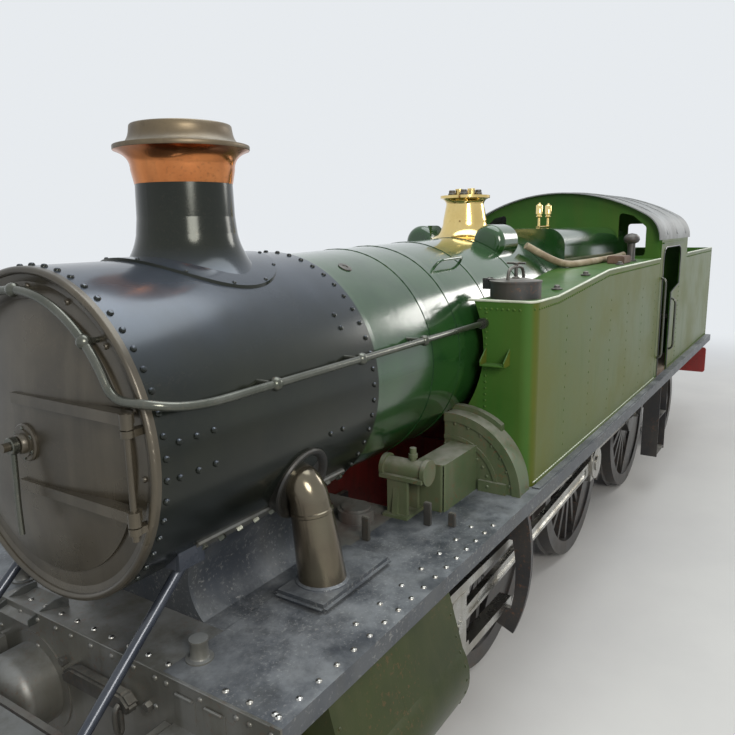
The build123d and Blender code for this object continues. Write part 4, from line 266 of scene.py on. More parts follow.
# %% The finishes
COLUMNS = (
    "tone", "second_tone", "blotch", "streak_tone", "streak", "dust_tone", "dust",
    "chip_tone", "chip", "speck", "metal", "gloss", "dull", "coat", "ripple", "relief",
)
DUST = (0.30, 0.29, 0.25)
GREY_DUST = (0.34, 0.36, 0.37)
RUST = (0.17, 0.075, 0.035)
SOOT = (0.012, 0.012, 0.012)
FINISHES = {
    # The shell's own black, with a slight olive cast that is a painted reflection of the ground.
    "smokebox_black": (
        (0.020, 0.023, 0.016), (0.010, 0.013, 0.011), 1.3, (0.032, 0.032, 0.022), 0.12,
        (0.08, 0.09, 0.10), 0.2, (0.070, 0.058, 0.045), 0.12, 45.0, 0.45, 0.16, 0.31, 0.2, 1.2, 0.18),
    "door_brown": (
        (0.090, 0.075, 0.050), (0.050, 0.043, 0.031), 1.6, (0.125, 0.108, 0.078), 0.35,
        (0.13, 0.12, 0.10), 0.3, (0.10, 0.075, 0.05), 0.25, 45.0, 0.4, 0.26, 0.46, 0.15, 1.4, 0.2),
    "frame_black": (
        (0.026, 0.026, 0.028), (0.045, 0.042, 0.038), 2.5, (0.07, 0.06, 0.045), 0.5,
        DUST, 0.7, RUST, 0.55, 40.0, 0.1, 0.42, 0.75, 0.05, 2.0, 0.2),
    "wheel_black": (
        (0.022, 0.022, 0.024), (0.040, 0.037, 0.033), 3.5, (0.05, 0.042, 0.03), 0.3,
        DUST, 0.0, RUST, 0.35, 38.0, 0.1, 0.32, 0.62, 0.15, 3.0, 0.12),
    "cast_black": (
        (0.040, 0.040, 0.037), (0.075, 0.072, 0.062), 5.0, (0.10, 0.09, 0.07), 0.4,
        DUST, 0.6, RUST, 0.45, 60.0, 0.25, 0.40, 0.68, 0.05, 9.0, 0.5),
    "plate_grey": (
        (0.046, 0.053, 0.064), (0.096, 0.104, 0.114), 3.2, (0.10, 0.10, 0.09), 0.3,
        GREY_DUST, 0.55, (0.36, 0.36, 0.34), 0.55, 55.0, 0.3, 0.40, 0.66, 0.05, 3.5, 0.4),
    "frame_red": (
        (0.28, 0.025, 0.020), (0.15, 0.018, 0.015), 2.2, (0.07, 0.03, 0.02), 0.5,
        DUST, 0.3, SOOT, 0.5, 30.0, 0.0, 0.40, 0.65, 0.1, 2.0, 0.2),
    "beam_red": (
        (0.40, 0.035, 0.030), (0.27, 0.025, 0.022), 1.6, (0.16, 0.05, 0.04), 0.45,
        DUST, 0.4, SOOT, 0.45, 36.0, 0.0, 0.35, 0.6, 0.15, 2.0, 0.2),
    "green_boiler": (
        (0.014, 0.066, 0.011), (0.008, 0.038, 0.010), 1.1, (0.026, 0.082, 0.020), 0.2,
        (0.13, 0.17, 0.12), 0.18, (0.010, 0.022, 0.010), 0.12, 60.0, 0.0, 0.12, 0.26, 0.7, 0.9, 0.14),
    "green_tank": (
        (0.032, 0.104, 0.016), (0.052, 0.130, 0.022), 1.5, (0.074, 0.112, 0.022), 0.35,
        (0.15, 0.19, 0.11), 0.22, (0.026, 0.052, 0.016), 0.1, 48.0, 0.0, 0.30, 0.50, 0.06, 1.4, 0.14),
    "green_cylinder": (
        (0.022, 0.030, 0.008), (0.036, 0.046, 0.013), 1.8, (0.055, 0.058, 0.024), 0.4,
        DUST, 0.3, RUST, 0.3, 40.0, 0.05, 0.34, 0.56, 0.15, 1.2, 0.3),
    "roof_grey": (
        (0.30, 0.31, 0.31), (0.20, 0.205, 0.20), 1.4, (0.14, 0.135, 0.12), 0.35,
        (0.42, 0.42, 0.39), 0.3, (0.10, 0.095, 0.085), 0.5, 34.0, 0.0, 0.6, 0.85, 0.0, 1.5, 0.3),
    "copper_cap": (
        (0.62, 0.24, 0.085), (0.46, 0.155, 0.05), 2.8, (0.30, 0.12, 0.05), 0.55,
        (0.30, 0.20, 0.13), 0.4, (0.16, 0.065, 0.03), 0.4, 50.0, 1.0, 0.17, 0.38, 0.0, 2.5, 0.1),
    "brass_bright": (
        (0.86, 0.68, 0.30), (0.72, 0.53, 0.20), 2.5, (0.50, 0.36, 0.14), 0.3,
        (0.45, 0.40, 0.25), 0.25, (0.35, 0.25, 0.10), 0.2, 45.0, 1.0, 0.10, 0.24, 0.0, 2.5, 0.12),
    "bright_steel": (
        (0.52, 0.52, 0.50), (0.36, 0.35, 0.32), 4.0, (0.20, 0.17, 0.12), 0.45,
        DUST, 0.25, (0.16, 0.11, 0.07), 0.4, 55.0, 1.0, 0.24, 0.46, 0.0, 5.0, 0.1),
    "floor_wood": (
        (0.16, 0.10, 0.055), (0.09, 0.055, 0.03), 4.0, (0.05, 0.035, 0.02), 0.4,
        DUST, 0.5, (0.26, 0.19, 0.12), 0.3, 30.0, 0.0, 0.6, 0.85, 0.0, 4.0, 0.5),
    "steam_bronze": (
        (0.150, 0.132, 0.090), (0.105, 0.082, 0.060), 3.0, (0.17, 0.12, 0.09), 0.35,
        (0.2, 0.2, 0.18), 0.15, (0.12, 0.08, 0.06), 0.2, 40.0, 0.8, 0.17, 0.31, 0.2, 2.5, 0.1),
    "weathered_green": (
        (0.068, 0.098, 0.046), (0.100, 0.120, 0.062), 2.6, (0.14, 0.13, 0.085), 0.5,
        DUST, 0.75, RUST, 0.6, 30.0, 0.0, 0.42, 0.68, 0.1, 2.5, 0.3),
    "drop_plate": (
        (0.100, 0.098, 0.082), (0.160, 0.156, 0.132), 2.4, (0.20, 0.20, 0.19), 0.6,
        GREY_DUST, 0.45, RUST, 0.4, 45.0, 0.35, 0.34, 0.58, 0.1, 2.5, 0.35),
    "dull_brown_lip": (
        (0.190, 0.145, 0.085), (0.115, 0.090, 0.060), 3.0, (0.10, 0.07, 0.04), 0.4,
        (0.32, 0.30, 0.25), 0.5, (0.08, 0.06, 0.04), 0.4, 45.0, 0.6, 0.36, 0.58, 0.0, 3.0, 0.2),
    "rail_steel": (
        (0.100, 0.104, 0.085), (0.060, 0.066, 0.050), 4.0, (0.15, 0.15, 0.13), 0.3,
        DUST, 0.2, (0.20, 0.17, 0.13), 0.3, 60.0, 0.75, 0.22, 0.36, 0.2, 4.0, 0.08),
    "lagging_cream": (
        (0.40, 0.33, 0.22), (0.27, 0.20, 0.12), 8.0, (0.16, 0.11, 0.07), 0.4,
        (0.45, 0.41, 0.33), 0.5, SOOT, 0.4, 70.0, 0.0, 0.8, 0.95, 0.0, 14.0, 0.6),
    "pale_line": (
        (0.62, 0.64, 0.52), (0.45, 0.50, 0.36), 4.0, (0.25, 0.28, 0.16), 0.4,
        DUST, 0.3, (0.10, 0.13, 0.06), 0.4, 60.0, 0.0, 0.35, 0.5, 0.2, 2.0, 0.1),
    "black_line": (
        (0.016, 0.018, 0.017), (0.03, 0.032, 0.03), 3.0, (0.05, 0.055, 0.045), 0.3,
        DUST, 0.3, (0.06, 0.07, 0.05), 0.3, 60.0, 0.0, 0.28, 0.42, 0.4, 2.0, 0.1),
    # Dark steel; the blue tint of its tones is a painted sky reflection.
    "blued_rod": (
        (0.024, 0.030, 0.044), (0.048, 0.056, 0.072), 5.0, (0.11, 0.12, 0.14), 0.3,
        DUST, 0.1, (0.10, 0.08, 0.07), 0.25, 60.0, 0.35, 0.22, 0.38, 0.15, 5.0, 0.08),
    "dark_seam": (
        (0.014, 0.014, 0.013), (0.030, 0.028, 0.024), 4.0, (0.05, 0.045, 0.035), 0.3,
        DUST, 0.2, (0.09, 0.06, 0.045), 0.3, 60.0, 0.2, 0.34, 0.55, 0.1, 4.0, 0.2),
    "rust_brown": (
        (0.165, 0.095, 0.060), (0.110, 0.065, 0.045), 5.0, (0.22, 0.15, 0.10), 0.4,
        DUST, 0.5, (0.06, 0.04, 0.03), 0.5, 60.0, 0.0, 0.6, 0.85, 0.0, 5.0, 0.5),
}
print("finishes:", len(FINISHES), "columns:", len(COLUMNS))

# %% [markdown]
# A row of the table becomes a material by laying effects over one another, and a few small
# steps do that work: placing an effect, blending two colours, finding the front end.
# Three finishes have a rule of their own. The tank's sides get a paler, yellower tone than its front,
# the smokebox's upward-facing crown gets a painted sky reflection, and the red frames are painted
# grey where they reach beyond the drop plate or touch the deck's skin.

# %% Small steps of a material
DROP_PLATE_X = (5.20, 5.27)
DECK_SKIN_Z = (1.519, 1.522)


def use_effect(tree, effect, **values):
    """Places a shared effect in a material with its own values, and hands back its output."""
    node = tree.nodes.new("ShaderNodeGroup")
    node.node_tree = effect
    for name, value in values.items():
        node.inputs[name.replace("_", " ")].default_value = value
    return node.outputs[0]


def blend_tones(tree, mask, under, over):
    """Lays one colour over another where the mask is white."""
    node = tree.nodes.new("ShaderNodeMix")
    node.data_type = "RGBA"
    colour_inputs = [socket for socket in node.inputs if socket.type == "RGBA"]
    for value, socket in zip((mask, under, over), (node.inputs["Factor"], *colour_inputs)):
        feed(tree, value, socket)
    return next(socket for socket in node.outputs if socket.type == "RGBA")


def ahead_or_above(tree):
    """White beyond the drop plate and on the deck's skin."""
    place = place_on(tree)
    beyond = between(tree, part_of(tree, place, "X"), *DROP_PLATE_X)
    above = between(tree, part_of(tree, place, "Z"), *DECK_SKIN_Z)
    return sums(tree, "MAXIMUM", beyond, above)


print("deck skin between", DECK_SKIN_Z, "metres")

# %% [markdown]
# The function itself mostly follows the engine's life. It mixes the two tones of paint, changes
# them by the finish's own rule, which on the smokebox paints a sky reflection, and then lays rain,
# chips and dust over them. Wherever one of these covers the paint, the surface is also duller.
# Chips are a little lower than the paint round them, so they are taken off the height of the ripples.

# %% Make a material from a row
# Painted sky reflection: blue-grey tones laid on the smokebox's upward-facing top.
PAINTED_SKY_REFLECTION = ((0.060, 0.072, 0.092), (0.100, 0.118, 0.146))
# The tank's sides: paler, yellower tones than its front, on faces that point to the side.
PALER_SIDE_TONES = ((0.062, 0.092, 0.010), (0.094, 0.108, 0.016))
GREY_COAT = (0.105, 0.105, 0.095)
OWN_RULE = {
    "green_tank": {"side_tones": PALER_SIDE_TONES},
    "frame_red": {"ahead": GREY_COAT},
    "smokebox_black": {"top": PAINTED_SKY_REFLECTION},
}
USUAL_MIRROR = 0.5
MIRROR_SHARE = {
    "green_tank": 0.12, "smokebox_black": 0.3, "green_cylinder": 0.15,
    "weathered_green": 0.3, "plate_grey": 0.4,
}
STREAK_SIZE = 6.0
PATCH_SIZE = 3.0
SKIN_SIZE = 90.0
BLOTCH_SHINE = 0.55
CHIP_DEPTH = 0.02
FULL_WEAR = (0.0, 1.0)
BUMP_DISTANCE = 0.02


def make_finish(name, side_tones=None, ahead=None, top=None):
    """A material from a row; it may add paler sides, a painted sky reflection on top, or a front-end
    tone.
    """
    row = dict(zip(COLUMNS, FINISHES[name]))
    made = bpy.data.materials.new("finish_" + name)
    made.use_nodes = True
    tree = made.node_tree
    shader = tree.nodes["Principled BSDF"]
    blotch = use_effect(tree, blotch_effect, Blotch_size=row["blotch"])
    streak = use_effect(tree, streak_effect, Streak_size=STREAK_SIZE, Strength=row["streak"])
    chip = use_effect(tree, chip_effect, Speck_size=row["speck"], Share=row["chip"])
    dust = use_effect(tree, dust_effect, Patch_size=PATCH_SIZE, Cover=row["dust"])
    tone = blend_tones(tree, blotch, row["tone"], row["second_tone"])
    # Faces that point to the side take paler, yellower tones.
    if side_tones:
        side = sums(tree, "ABSOLUTE", facing(tree, "Y"))
        paler_sides = blend_tones(tree, blotch, *side_tones)
        tone = blend_tones(tree, between(tree, side, low=0.6, high=0.9), tone, paler_sides)
    # Painted sky reflection: faces that point up take a blue-grey tone.
    if top:
        crown = blend_tones(tree, blotch, *top)
        upward = between(tree, facing(tree, "Z"), low=0.3, high=1.0)
        tone = blend_tones(tree, upward, tone, crown)
    if ahead:
        tone = blend_tones(tree, ahead_or_above(tree), tone, ahead)
    for mask, column in ((streak, "streak_tone"), (chip, "chip_tone"), (dust, "dust_tone")):
        tone = blend_tones(tree, mask, tone, row[column])
    feed(tree, tone, shader.inputs["Base Color"])
    wear = sums(tree, "MAXIMUM", sums(tree, "MAXIMUM", streak, chip), dust)
    shine = sums(tree, "MAXIMUM", wear, sums(tree, "MULTIPLY", blotch, BLOTCH_SHINE))
    gloss = between(tree, shine, *FULL_WEAR, out_low=row["gloss"], out_high=row["dull"])
    feed(tree, gloss, shader.inputs["Roughness"])
    height = use_effect(tree, ripple_effect, Ripple_size=row["ripple"], Skin_size=SKIN_SIZE)
    height = sums(tree, "SUBTRACT", height, sums(tree, "MULTIPLY", chip, CHIP_DEPTH))
    bump = tree.nodes.new("ShaderNodeBump")
    bump.inputs["Strength"].default_value = row["relief"]
    bump.inputs["Distance"].default_value = BUMP_DISTANCE
    feed(tree, height, bump.inputs["Height"])
    feed(tree, bump.outputs["Normal"], shader.inputs["Normal"])
    plain = {"Metallic": row["metal"], "Coat Weight": row["coat"], "Coat Roughness": row["gloss"],
             "Specular IOR Level": MIRROR_SHARE.get(name, USUAL_MIRROR)}
    for socket, value in plain.items():
        shader.inputs[socket].default_value = value
    return made


finishes = {name: make_finish(name, **OWN_RULE.get(name, {})) for name in FINISHES}
print("materials made:", len(finishes))

# %% [markdown]
# Most solids already carry the name of their finish, so they take the material of that name.
# A few stand out on the real engine: the steam pipes have a bronze sheen, the smokebox door and
# its ring are a burnt brown, the stays are dark steel with a blue tint that is a painted sky
# reflection, the splashers are bleached and rusty, and the dropped front plate is bare in places.

# %% Put the finishes on the solids
OWN_FINISH = {
    "steam_pipes": "steam_bronze",
    "splashers": "weathered_green",
    "tank_arches": "weathered_green",
    "rocker_bearings": "weathered_green",
    "handrail": "rail_steel",
    "smokebox_saddle": "plate_grey",
    "front_platform": "drop_plate",
    "front_stays": "blued_rod",
    "smokebox_door": "door_brown",
    "smokebox_front": "door_brown",
}
for name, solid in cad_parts.items():
    for place in solid.material_slots:
        own = place.material.name.split(".")[0]
        place.material = finishes[OWN_FINISH.get(name, own if own in finishes else "frame_black")]
print("solids painted:", len(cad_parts))

# %% [markdown]
# A rivet must sit on its plate. Instead of working out where each curved plate is, we send a
# ray from outside towards the solid and take the place and the slope where it lands.
# A tree of the solid's faces makes that search quick, and we keep one tree for each solid.

# %% Find a surface
touch_trees = {}


def touch(node, start, aim):
    """Where a ray from start towards aim lands on a solid, and the slope there."""
    if node not in touch_trees:
        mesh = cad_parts[node].data
        corners = [corner.co for corner in mesh.vertices]
        faces = [tuple(face.vertices) for face in mesh.polygons]
        touch_trees[node] = BVHTree.FromPolygons(corners, faces)
    way = (aim - start).normalized()
    spot, slope, _, _ = touch_trees[node].ray_cast(start, way)
    if spot is None:
        return None
    return (spot, slope if slope.dot(way) < 0.0 else -slope)


def top_of(node, x, y, start=3400.0):
    """The height in millimetres at which a ray straight down lands, or None."""
    landed = touch(node, at(x, y, start), at(x, y, 0.0))
    return in_mm(landed[0])[2] if landed else None


print("first landing:", touch("chimney", at(900, 0, 3400), at(0, 0, 3400)))

# %% [markdown]
# Rays come in rows. A few short functions make them: round a circle, towards a level axis, along
# the engine, from both sides and from above. Each hands back pairs of a start and an aim.

# %% Rows of rays
RAY_START = 1300.0
FAR_SIDE = 1700.0


def around(radius, angles):
    """Pairs of offsets on a circle at angles in degrees."""
    turns = [math.radians(angle) for angle in angles]
    return [(radius * math.cos(turn), radius * math.sin(turn)) for turn in turns]


def towards_axis(x, z, angles):
    """Rays towards a level axis along the engine, from angles above its left side."""
    return [((x, y, z + rise), (x, 0.0, z)) for y, rise in around(RAY_START, angles)]


def along_engine(pairs, start, way=-1.0):
    """Rays forward (1) or backward (-1) from start, at pairs of side place and height."""
    return [((start, y, z), (start + way, y, z)) for y, z in pairs]


def both_sides(pairs):
    """Rays from both sides towards the centre line, at pairs of distance and height."""
    return [((x, way * FAR_SIDE, z), (x, 0.0, z)) for x, z in pairs for _, way in SIDES]


def from_above(pairs, top):
    """Rays straight down at pairs of distance and side place."""
    return [((x, y, top), (x, y, 0.0)) for x, y in pairs]


print("a row of three rays starts at", [start for start, _ in towards_axis(0.0, 0.0, (0, 45, 90))])

# %% [markdown]
# Every mesh is drawn with bmesh first and then needs the same four things: an object, a finish,
# the body that it moves with and the slot of its colour. Two functions do that for all of them.
# A third builds the walls between rings of points, which is how heads, turned pieces and plates
# are all made.

# %% From points to a piece
SHARP_EDGE = 40


def carry(piece, body):
    """Puts a piece in the scene and on its body."""
    bpy.context.scene.collection.objects.link(piece)
    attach(piece, body)
    return piece


def finish_piece(name, shape, finish, body="engine", smooth=True):
    """Turns a bmesh into a piece."""
    mesh = bpy.data.meshes.new(name)
    shape.to_mesh(mesh)
    shape.free()
    mesh.materials.append(finishes[finish])
    for face in mesh.polygons:
        face.use_smooth = smooth
    if smooth:
        mesh.set_sharp_from_angle(angle=math.radians(SHARP_EDGE))
    return carry(bpy.data.objects.new(name, mesh), body)


def join_rings(shape, rings, closed=True):
    """Walls between rings of points that follow one another."""
    count = len(rings[0])
    for first, second in zip(rings, rings[1:]):
        for step in range(count if closed else count - 1):
            after = (step + 1) % count
            shape.faces.new((first[step], first[after], second[after], second[step]))


# %% [markdown]
# Rivets, bolts and nuts are all a small turned or cut head repeated many times. One function
# builds the heads as rings of points around the slope of the plate and joins them in one mesh.
# A dome has eight sides, a nut six and a square nut four. Each head starts a little inside the
# plate, so that no light shows beneath it.

# %% Heads: rivets, bolts and nuts
DOME = ((1.0, -0.15), (0.94, 0.42), (0.62, 0.86))
FLAT_HEAD = ((1.0, -0.15), (1.0, 0.8), (0.82, 1.0))
DOME_SIDES = 8
HEX_SIDES = 6
SQUARE_SIDES = 4


def heads(name, node, spots, radius, height, finish, sides=DOME_SIDES, profile=DOME):
    """One mesh of equal heads; each spot is a start and an aim for the ray, in millimetres."""
    shape = bmesh.new()
    landings = [touch(node, at(*start), at(*aim)) for start, aim in spots]
    landings = [landed for landed in landings if landed]
    for spot, slope in landings:
        across = slope.orthogonal().normalized()
        along = slope.cross(across)
        turned_by = random.random() * math.tau if sides != DOME_SIDES else 0.0
        rings = []
        for wide, high in profile:
            ring = []
            for step in range(sides):
                angle = turned_by + math.tau * step / sides
                reach = (across * math.cos(angle) + along * math.sin(angle)) * radius * wide
                ring.append(shape.verts.new(spot + (reach + slope * height * high) * MM))
            rings.append(ring)
        join_rings(shape, rings)
        if profile is DOME:
            tip = shape.verts.new(spot + slope * height * MM)
            for step in range(sides):
                shape.faces.new((rings[-1][step], rings[-1][(step + 1) % sides], tip))
        else:
            shape.faces.new(rings[-1])
    print(name, "heads:", len(landings), "missed:", len(spots) - len(landings))
    return finish_piece(name, shape, finish)


print("dome sides:", DOME_SIDES)

# %% [markdown]
# The smokebox is rolled from thick plate. A ring of dome rivets runs round its front edge, a
# second joins it to the boiler, and short rows hold the stiffeners inside. Their spacing was
# read from the photograph: about seven degrees of the shell.

# %% Smokebox rivets
SMOKEBOX_Z = 2450.0
RING_START = -47.0
RIVET_PITCH = 6.9
RING_RIVETS = 40
SMOKEBOX_ROWS = (868.0, -618.0)
PATCH_ROWS = (
    (797, 5.1), (704, 5.1), (610, 5.1), (803, -6.1), (704, -6.1), (608, -6.1),
    (-432, 34.6), (-433, 28.5), (-224, -13.1), (-332, -13.2),
)
smokebox_spots = []
for x in SMOKEBOX_ROWS:
    ring = [RING_START + RIVET_PITCH * step for step in range(RING_RIVETS)]
    smokebox_spots += towards_axis(x, SMOKEBOX_Z, ring)
for x, angle in PATCH_ROWS:
    smokebox_spots += towards_axis(x, SMOKEBOX_Z, (angle, 180.0 - angle))
heads("smokebox_rivets", "smokebox_shell", smokebox_spots, radius=15.0, height=13.0,
      finish="smokebox_black")

# %% [markdown]
# Square nuts clamp the foot of the smokebox to its saddle. They stand on both sides, just above
# the saddle plate, and they are bare enough to catch the light.

# %% Nuts along the smokebox foot
NUT_ANGLE = -45.0
NUT_ROW_X = range(-540, 560, 118)
nut_spots = []
for x in NUT_ROW_X:
    nut_spots += towards_axis(x, SMOKEBOX_Z, (NUT_ANGLE, 180.0 - NUT_ANGLE))
heads("foot_nuts", "smokebox_shell", nut_spots, radius=21.0, height=30.0, finish="rail_steel",
      sides=SQUARE_SIDES, profile=FLAT_HEAD)

# %% [markdown]
# The front plate has a few bolts between the door and the rolled ring, and the chimney's skirt
# is held by small bolts round its edge.

# %% Bolts of the front plate and the chimney skirt
FRONT_BOLT_R = 662.0
FRONT_ANGLES = range(-30, 211, 24)
SKIRT_BOLT_R = 438.0
SKIRT_ANGLES = range(15, 360, 30)
SKIRT_RAY_Z = 3600.0
front_pairs = [(y, SMOKEBOX_Z + rise) for y, rise in around(FRONT_BOLT_R, FRONT_ANGLES)]
heads("front_plate_bolts", "smokebox_front", along_engine(front_pairs, RAY_START),
      radius=14.0, height=12.0, finish="door_brown")
skirt_spots = from_above(around(SKIRT_BOLT_R, SKIRT_ANGLES), top=SKIRT_RAY_Z)
heads("skirt_bolts", "chimney", skirt_spots, radius=11.0, height=9.0, finish="smokebox_black")

# %% [markdown]
# Many fittings are a profile turned about a line: bands, caps, valves, lamps. A lathe function
# takes the profile as pairs of distance along the line and radius, and turns it in steps.
# An arc shorter than a full turn gives a band that stops at the tanks.

# %% A lathe
TURN_STEPS = 48
NEAR_LINE = 1.0e-4
UP = (0, 0, 1)
FORWARD = (1, 0, 0)


def turned(name, profile, foot, axis, finish, body="engine", steps=TURN_STEPS, arc=None,
           smooth=True):
    """A profile of (along, radius) pairs in millimetres, turned about an axis through foot."""
    line = Vector(axis).normalized()
    across = Vector((0.0, 1.0, 0.0)) if abs(line.y) < 0.9 else Vector((1.0, 0.0, 0.0))
    across = (across - line * across.dot(line)).normalized()
    up = line.cross(across)
    low, high = arc or (0.0, 360.0)
    count = steps + 1 if arc else steps
    shape = bmesh.new()
    rings = []
    for along, radius in profile:
        ring = []
        for step in range(count):
            angle = math.radians(low + (high - low) * step / steps)
            reach = (across * math.cos(angle) + up * math.sin(angle)) * radius
            ring.append(shape.verts.new(at(*foot) + (line * along + reach) * MM))
        rings.append(ring)
    join_rings(shape, rings, closed=not arc)
    bmesh.ops.remove_doubles(shape, verts=shape.verts, dist=NEAR_LINE)
    bmesh.ops.recalc_face_normals(shape, faces=shape.faces)
    return finish_piece(name, shape, finish, body, smooth)


print("lathe steps:", TURN_STEPS)

# %% [markdown]
# Thin steel bands hold the boiler's cladding sheets down. They follow the cone of the boiler, so
# each one's radius is read from the solid before it is turned. Beside the tanks a band shows
# only above them, so it gets a shorter arc.

# %% Boiler bands
BARREL_END_X = -665.0
BARREL_RISE = 20.0 / 3385.0
BAND_PLACES = ((-700.0, 30.0), (-1360.0, 24.0), (-1745.0, 36.0), (-2284.0, 24.0),
               (-3020.0, 24.0), (-3760.0, 24.0))
BAND_PROUD = 4.0
TANK_FRONT_X = -1930.0
OPEN_ARC = (-60.0, 240.0)
TANK_ARC = (-28.0, 208.0)


def barrel_middle(x):
    """The height of the boiler's axis at a distance along it."""
    return SMOKEBOX_Z + BARREL_RISE * (BARREL_END_X - x)


for number, (x, half) in enumerate(BAND_PLACES):
    middle = barrel_middle(x)
    radius = top_of("boiler_barrel", x, 0.0, start=3600.0) - middle
    edge = ((-half, radius - 1.0), (-half, radius + BAND_PROUD), (half, radius + BAND_PROUD),
            (half, radius - 1.0))
    turned(f"boiler_band_{number}", edge, (x, 0.0, middle), FORWARD, "green_boiler",
           arc=TANK_ARC if x < TANK_FRONT_X else OPEN_ARC)
    print("band", number, "radius", round(radius, 1))

# %% [markdown]
# Round bars make the handles, pipes and steps. A curve with a round bevel is the shortest way to
# draw one, and its end caps keep it solid. A pipe that narrows gives each point its own share of
# the radius.

# %% A bender for round bar
BAR_STEPS = 4
CURVE_STEPS = 8
CURVE_ORDER = 3


def bar(name, points, radius, finish, body="engine", smooth=True, sides=BAR_STEPS, taper=()):
    """A round bar along points in millimetres; taper gives each point its share of the radius."""
    curve = bpy.data.curves.new(name, "CURVE")
    curve.dimensions = "3D"
    curve.bevel_depth = radius * MM
    curve.bevel_resolution = sides
    curve.use_fill_caps = True
    curve.resolution_u = CURVE_STEPS
    line = curve.splines.new("NURBS" if smooth else "POLY")
    line.points.add(len(points) - 1)
    for spot, point in zip(line.points, points):
        spot.co = (*at(*point), 1.0)
    for spot, share in zip(line.points, taper):
        spot.radius = share
    if smooth:
        line.order_u = CURVE_ORDER
        line.use_endpoint_u = True
    curve.materials.append(finishes[finish])
    return carry(bpy.data.objects.new(name, curve), body)


print("bar steps:", BAR_STEPS)

# %% [markdown]
# Two lifting handles stand on the boiler beside the tank fronts, and a round washout plug lies
# between them and the smokebox. Each foot of a handle goes into the cladding at the place where
# the ray lands.

# %% Boiler handles and plug
HANDLE_LIFT = 62.0
HANDLE_SINK = -4.0
HANDLE_LINE = ((-1865.0, HANDLE_SINK), (-1865.0, HANDLE_LIFT), (-1990.0, HANDLE_LIFT),
               (-2150.0, HANDLE_LIFT), (-2250.0, HANDLE_LIFT), (-2250.0, HANDLE_SINK))
PLUG_X = -930.0
PLUG_ANGLE = 62.0


def on_barrel(x, angle, lift):
    """A point over the boiler's cladding at an angle above the left side."""
    ((start, aim),) = towards_axis(x, barrel_middle(x), (angle,))
    spot, _ = touch("boiler_barrel", at(*start), at(*aim))
    return in_mm(spot + (at(*start) - at(*aim)).normalized() * lift * MM)


for side, angle in (("left", 52.0), ("right", 128.0)):
    line = [on_barrel(x, angle, lift) for x, lift in HANDLE_LINE]
    bar("boiler_handle_" + side, line, radius=11.0, finish="green_boiler")
plug_profile = ((-6, 0), (-6, 44), (5, 44), (8, 38), (8, 20), (3, 18), (3, 0))
turned("boiler_plug", plug_profile, on_barrel(PLUG_X, PLUG_ANGLE, 0.0),
       (0.0, *around(1.0, (PLUG_ANGLE,))[0]), "cast_black", steps=24)
print("handle foot:", [round(v) for v in line[0]])

# %% [markdown]
# The safety valves stand in a bright bonnet, and the dark tops of four columns show on its rim.
# Each column's foot is found by a ray, so it sits on the bonnet whatever its height.

# %% Safety valve heads
VALVE_X = -3330.0
VALVE_RING_R = 118.0
VALVE_ANGLES = (20, 110, 200, 290)
column = ((-10, 0), (-10, 34), (20, 34), (26, 28), (44, 28), (50, 22), (50, 0))
for number, (x, y) in enumerate(around(VALVE_RING_R, VALVE_ANGLES)):
    foot = (VALVE_X + x, y, top_of("safety_valve", VALVE_X + x, y, start=3800.0))
    turned(f"valve_column_{number}", column, foot, UP, "cast_black", steps=16)
print("last column stands at", round(foot[2]))

# %% [markdown]
# The tank front and side are separate plates, riveted to angle bars inside. Small rivets follow
# the top edge along the whole side, step round the front, and run down the inner front edge.
# A finer set of stay rivets shows on the side as faint upright rows.

# %% Tank rivets
TANK_PITCH = 45.0
TOP_LINE = ((-1975.0, 2768.0), (-2420.0, 2772.0), (-3800.0, 2880.0), (-6010.0, 2880.0))
FOOT_LINE = ((-2040.0, 1532.0), (-6020.0, 1532.0))
INNER_ROW_Y = 838.0
INNER_ROW_Z = (*range(1700, 2350, 45), *range(2510, 2760, 45))
CROSS_ROW_Y = range(790, 1090, 42)
CROSS_ROW_Z = 2762.0
STAY_X = range(-2640, -5900, -640)
STAY_Z = range(1640, 2700, 92)
TANK_RAY_X = -1500.0


def along_line(line, pitch):
    """Evenly spaced pairs along a bent line."""
    spots = []
    for (x1, z1), (x2, z2) in zip(line, line[1:]):
        count = max(1, round(math.hypot(x2 - x1, z2 - z1) / pitch))
        for part in (step / count for step in range(count)):
            spots.append((x1 + (x2 - x1) * part, z1 + (z2 - z1) * part))
    return spots


tank_pairs = along_line(TOP_LINE, TANK_PITCH) + along_line(FOOT_LINE, TANK_PITCH)
heads("tank_rivets", "side_tanks", both_sides(tank_pairs), radius=8.5, height=6.5, finish="green_tank")
front_row = [(INNER_ROW_Y, z) for z in INNER_ROW_Z]
front_row += [(y, CROSS_ROW_Z) for y in CROSS_ROW_Y]
front_pairs = [(way * y, z) for y, z in front_row for _, way in SIDES]
heads("tank_front_rivets", "side_tanks", along_engine(front_pairs, TANK_RAY_X),
      radius=10.0, height=8.0, finish="green_tank")
stay_pairs = [(x, z) for x in STAY_X for z in STAY_Z]
heads("tank_stay_rivets", "side_tanks", both_sides(stay_pairs), radius=11.0, height=2.6,
      finish="green_tank")

# %% [markdown]
# Flat strips and cut plates are both prisms: rings of corners, closed at the two ends, with a
# small bevel on every edge that catches the light. A strip sweeps its section along points. A
# plate is one outline pushed along a vector. Many plates are plain rectangles, so one more
# function gives the four corners of those.

# %% Strips and plates
STRIP_SECTION = ((-0.5, -0.2), (0.5, -0.2), (0.5, 1.0), (-0.5, 1.0))
STRIP_BEVEL = 0.22
BEVEL_STEPS = 2


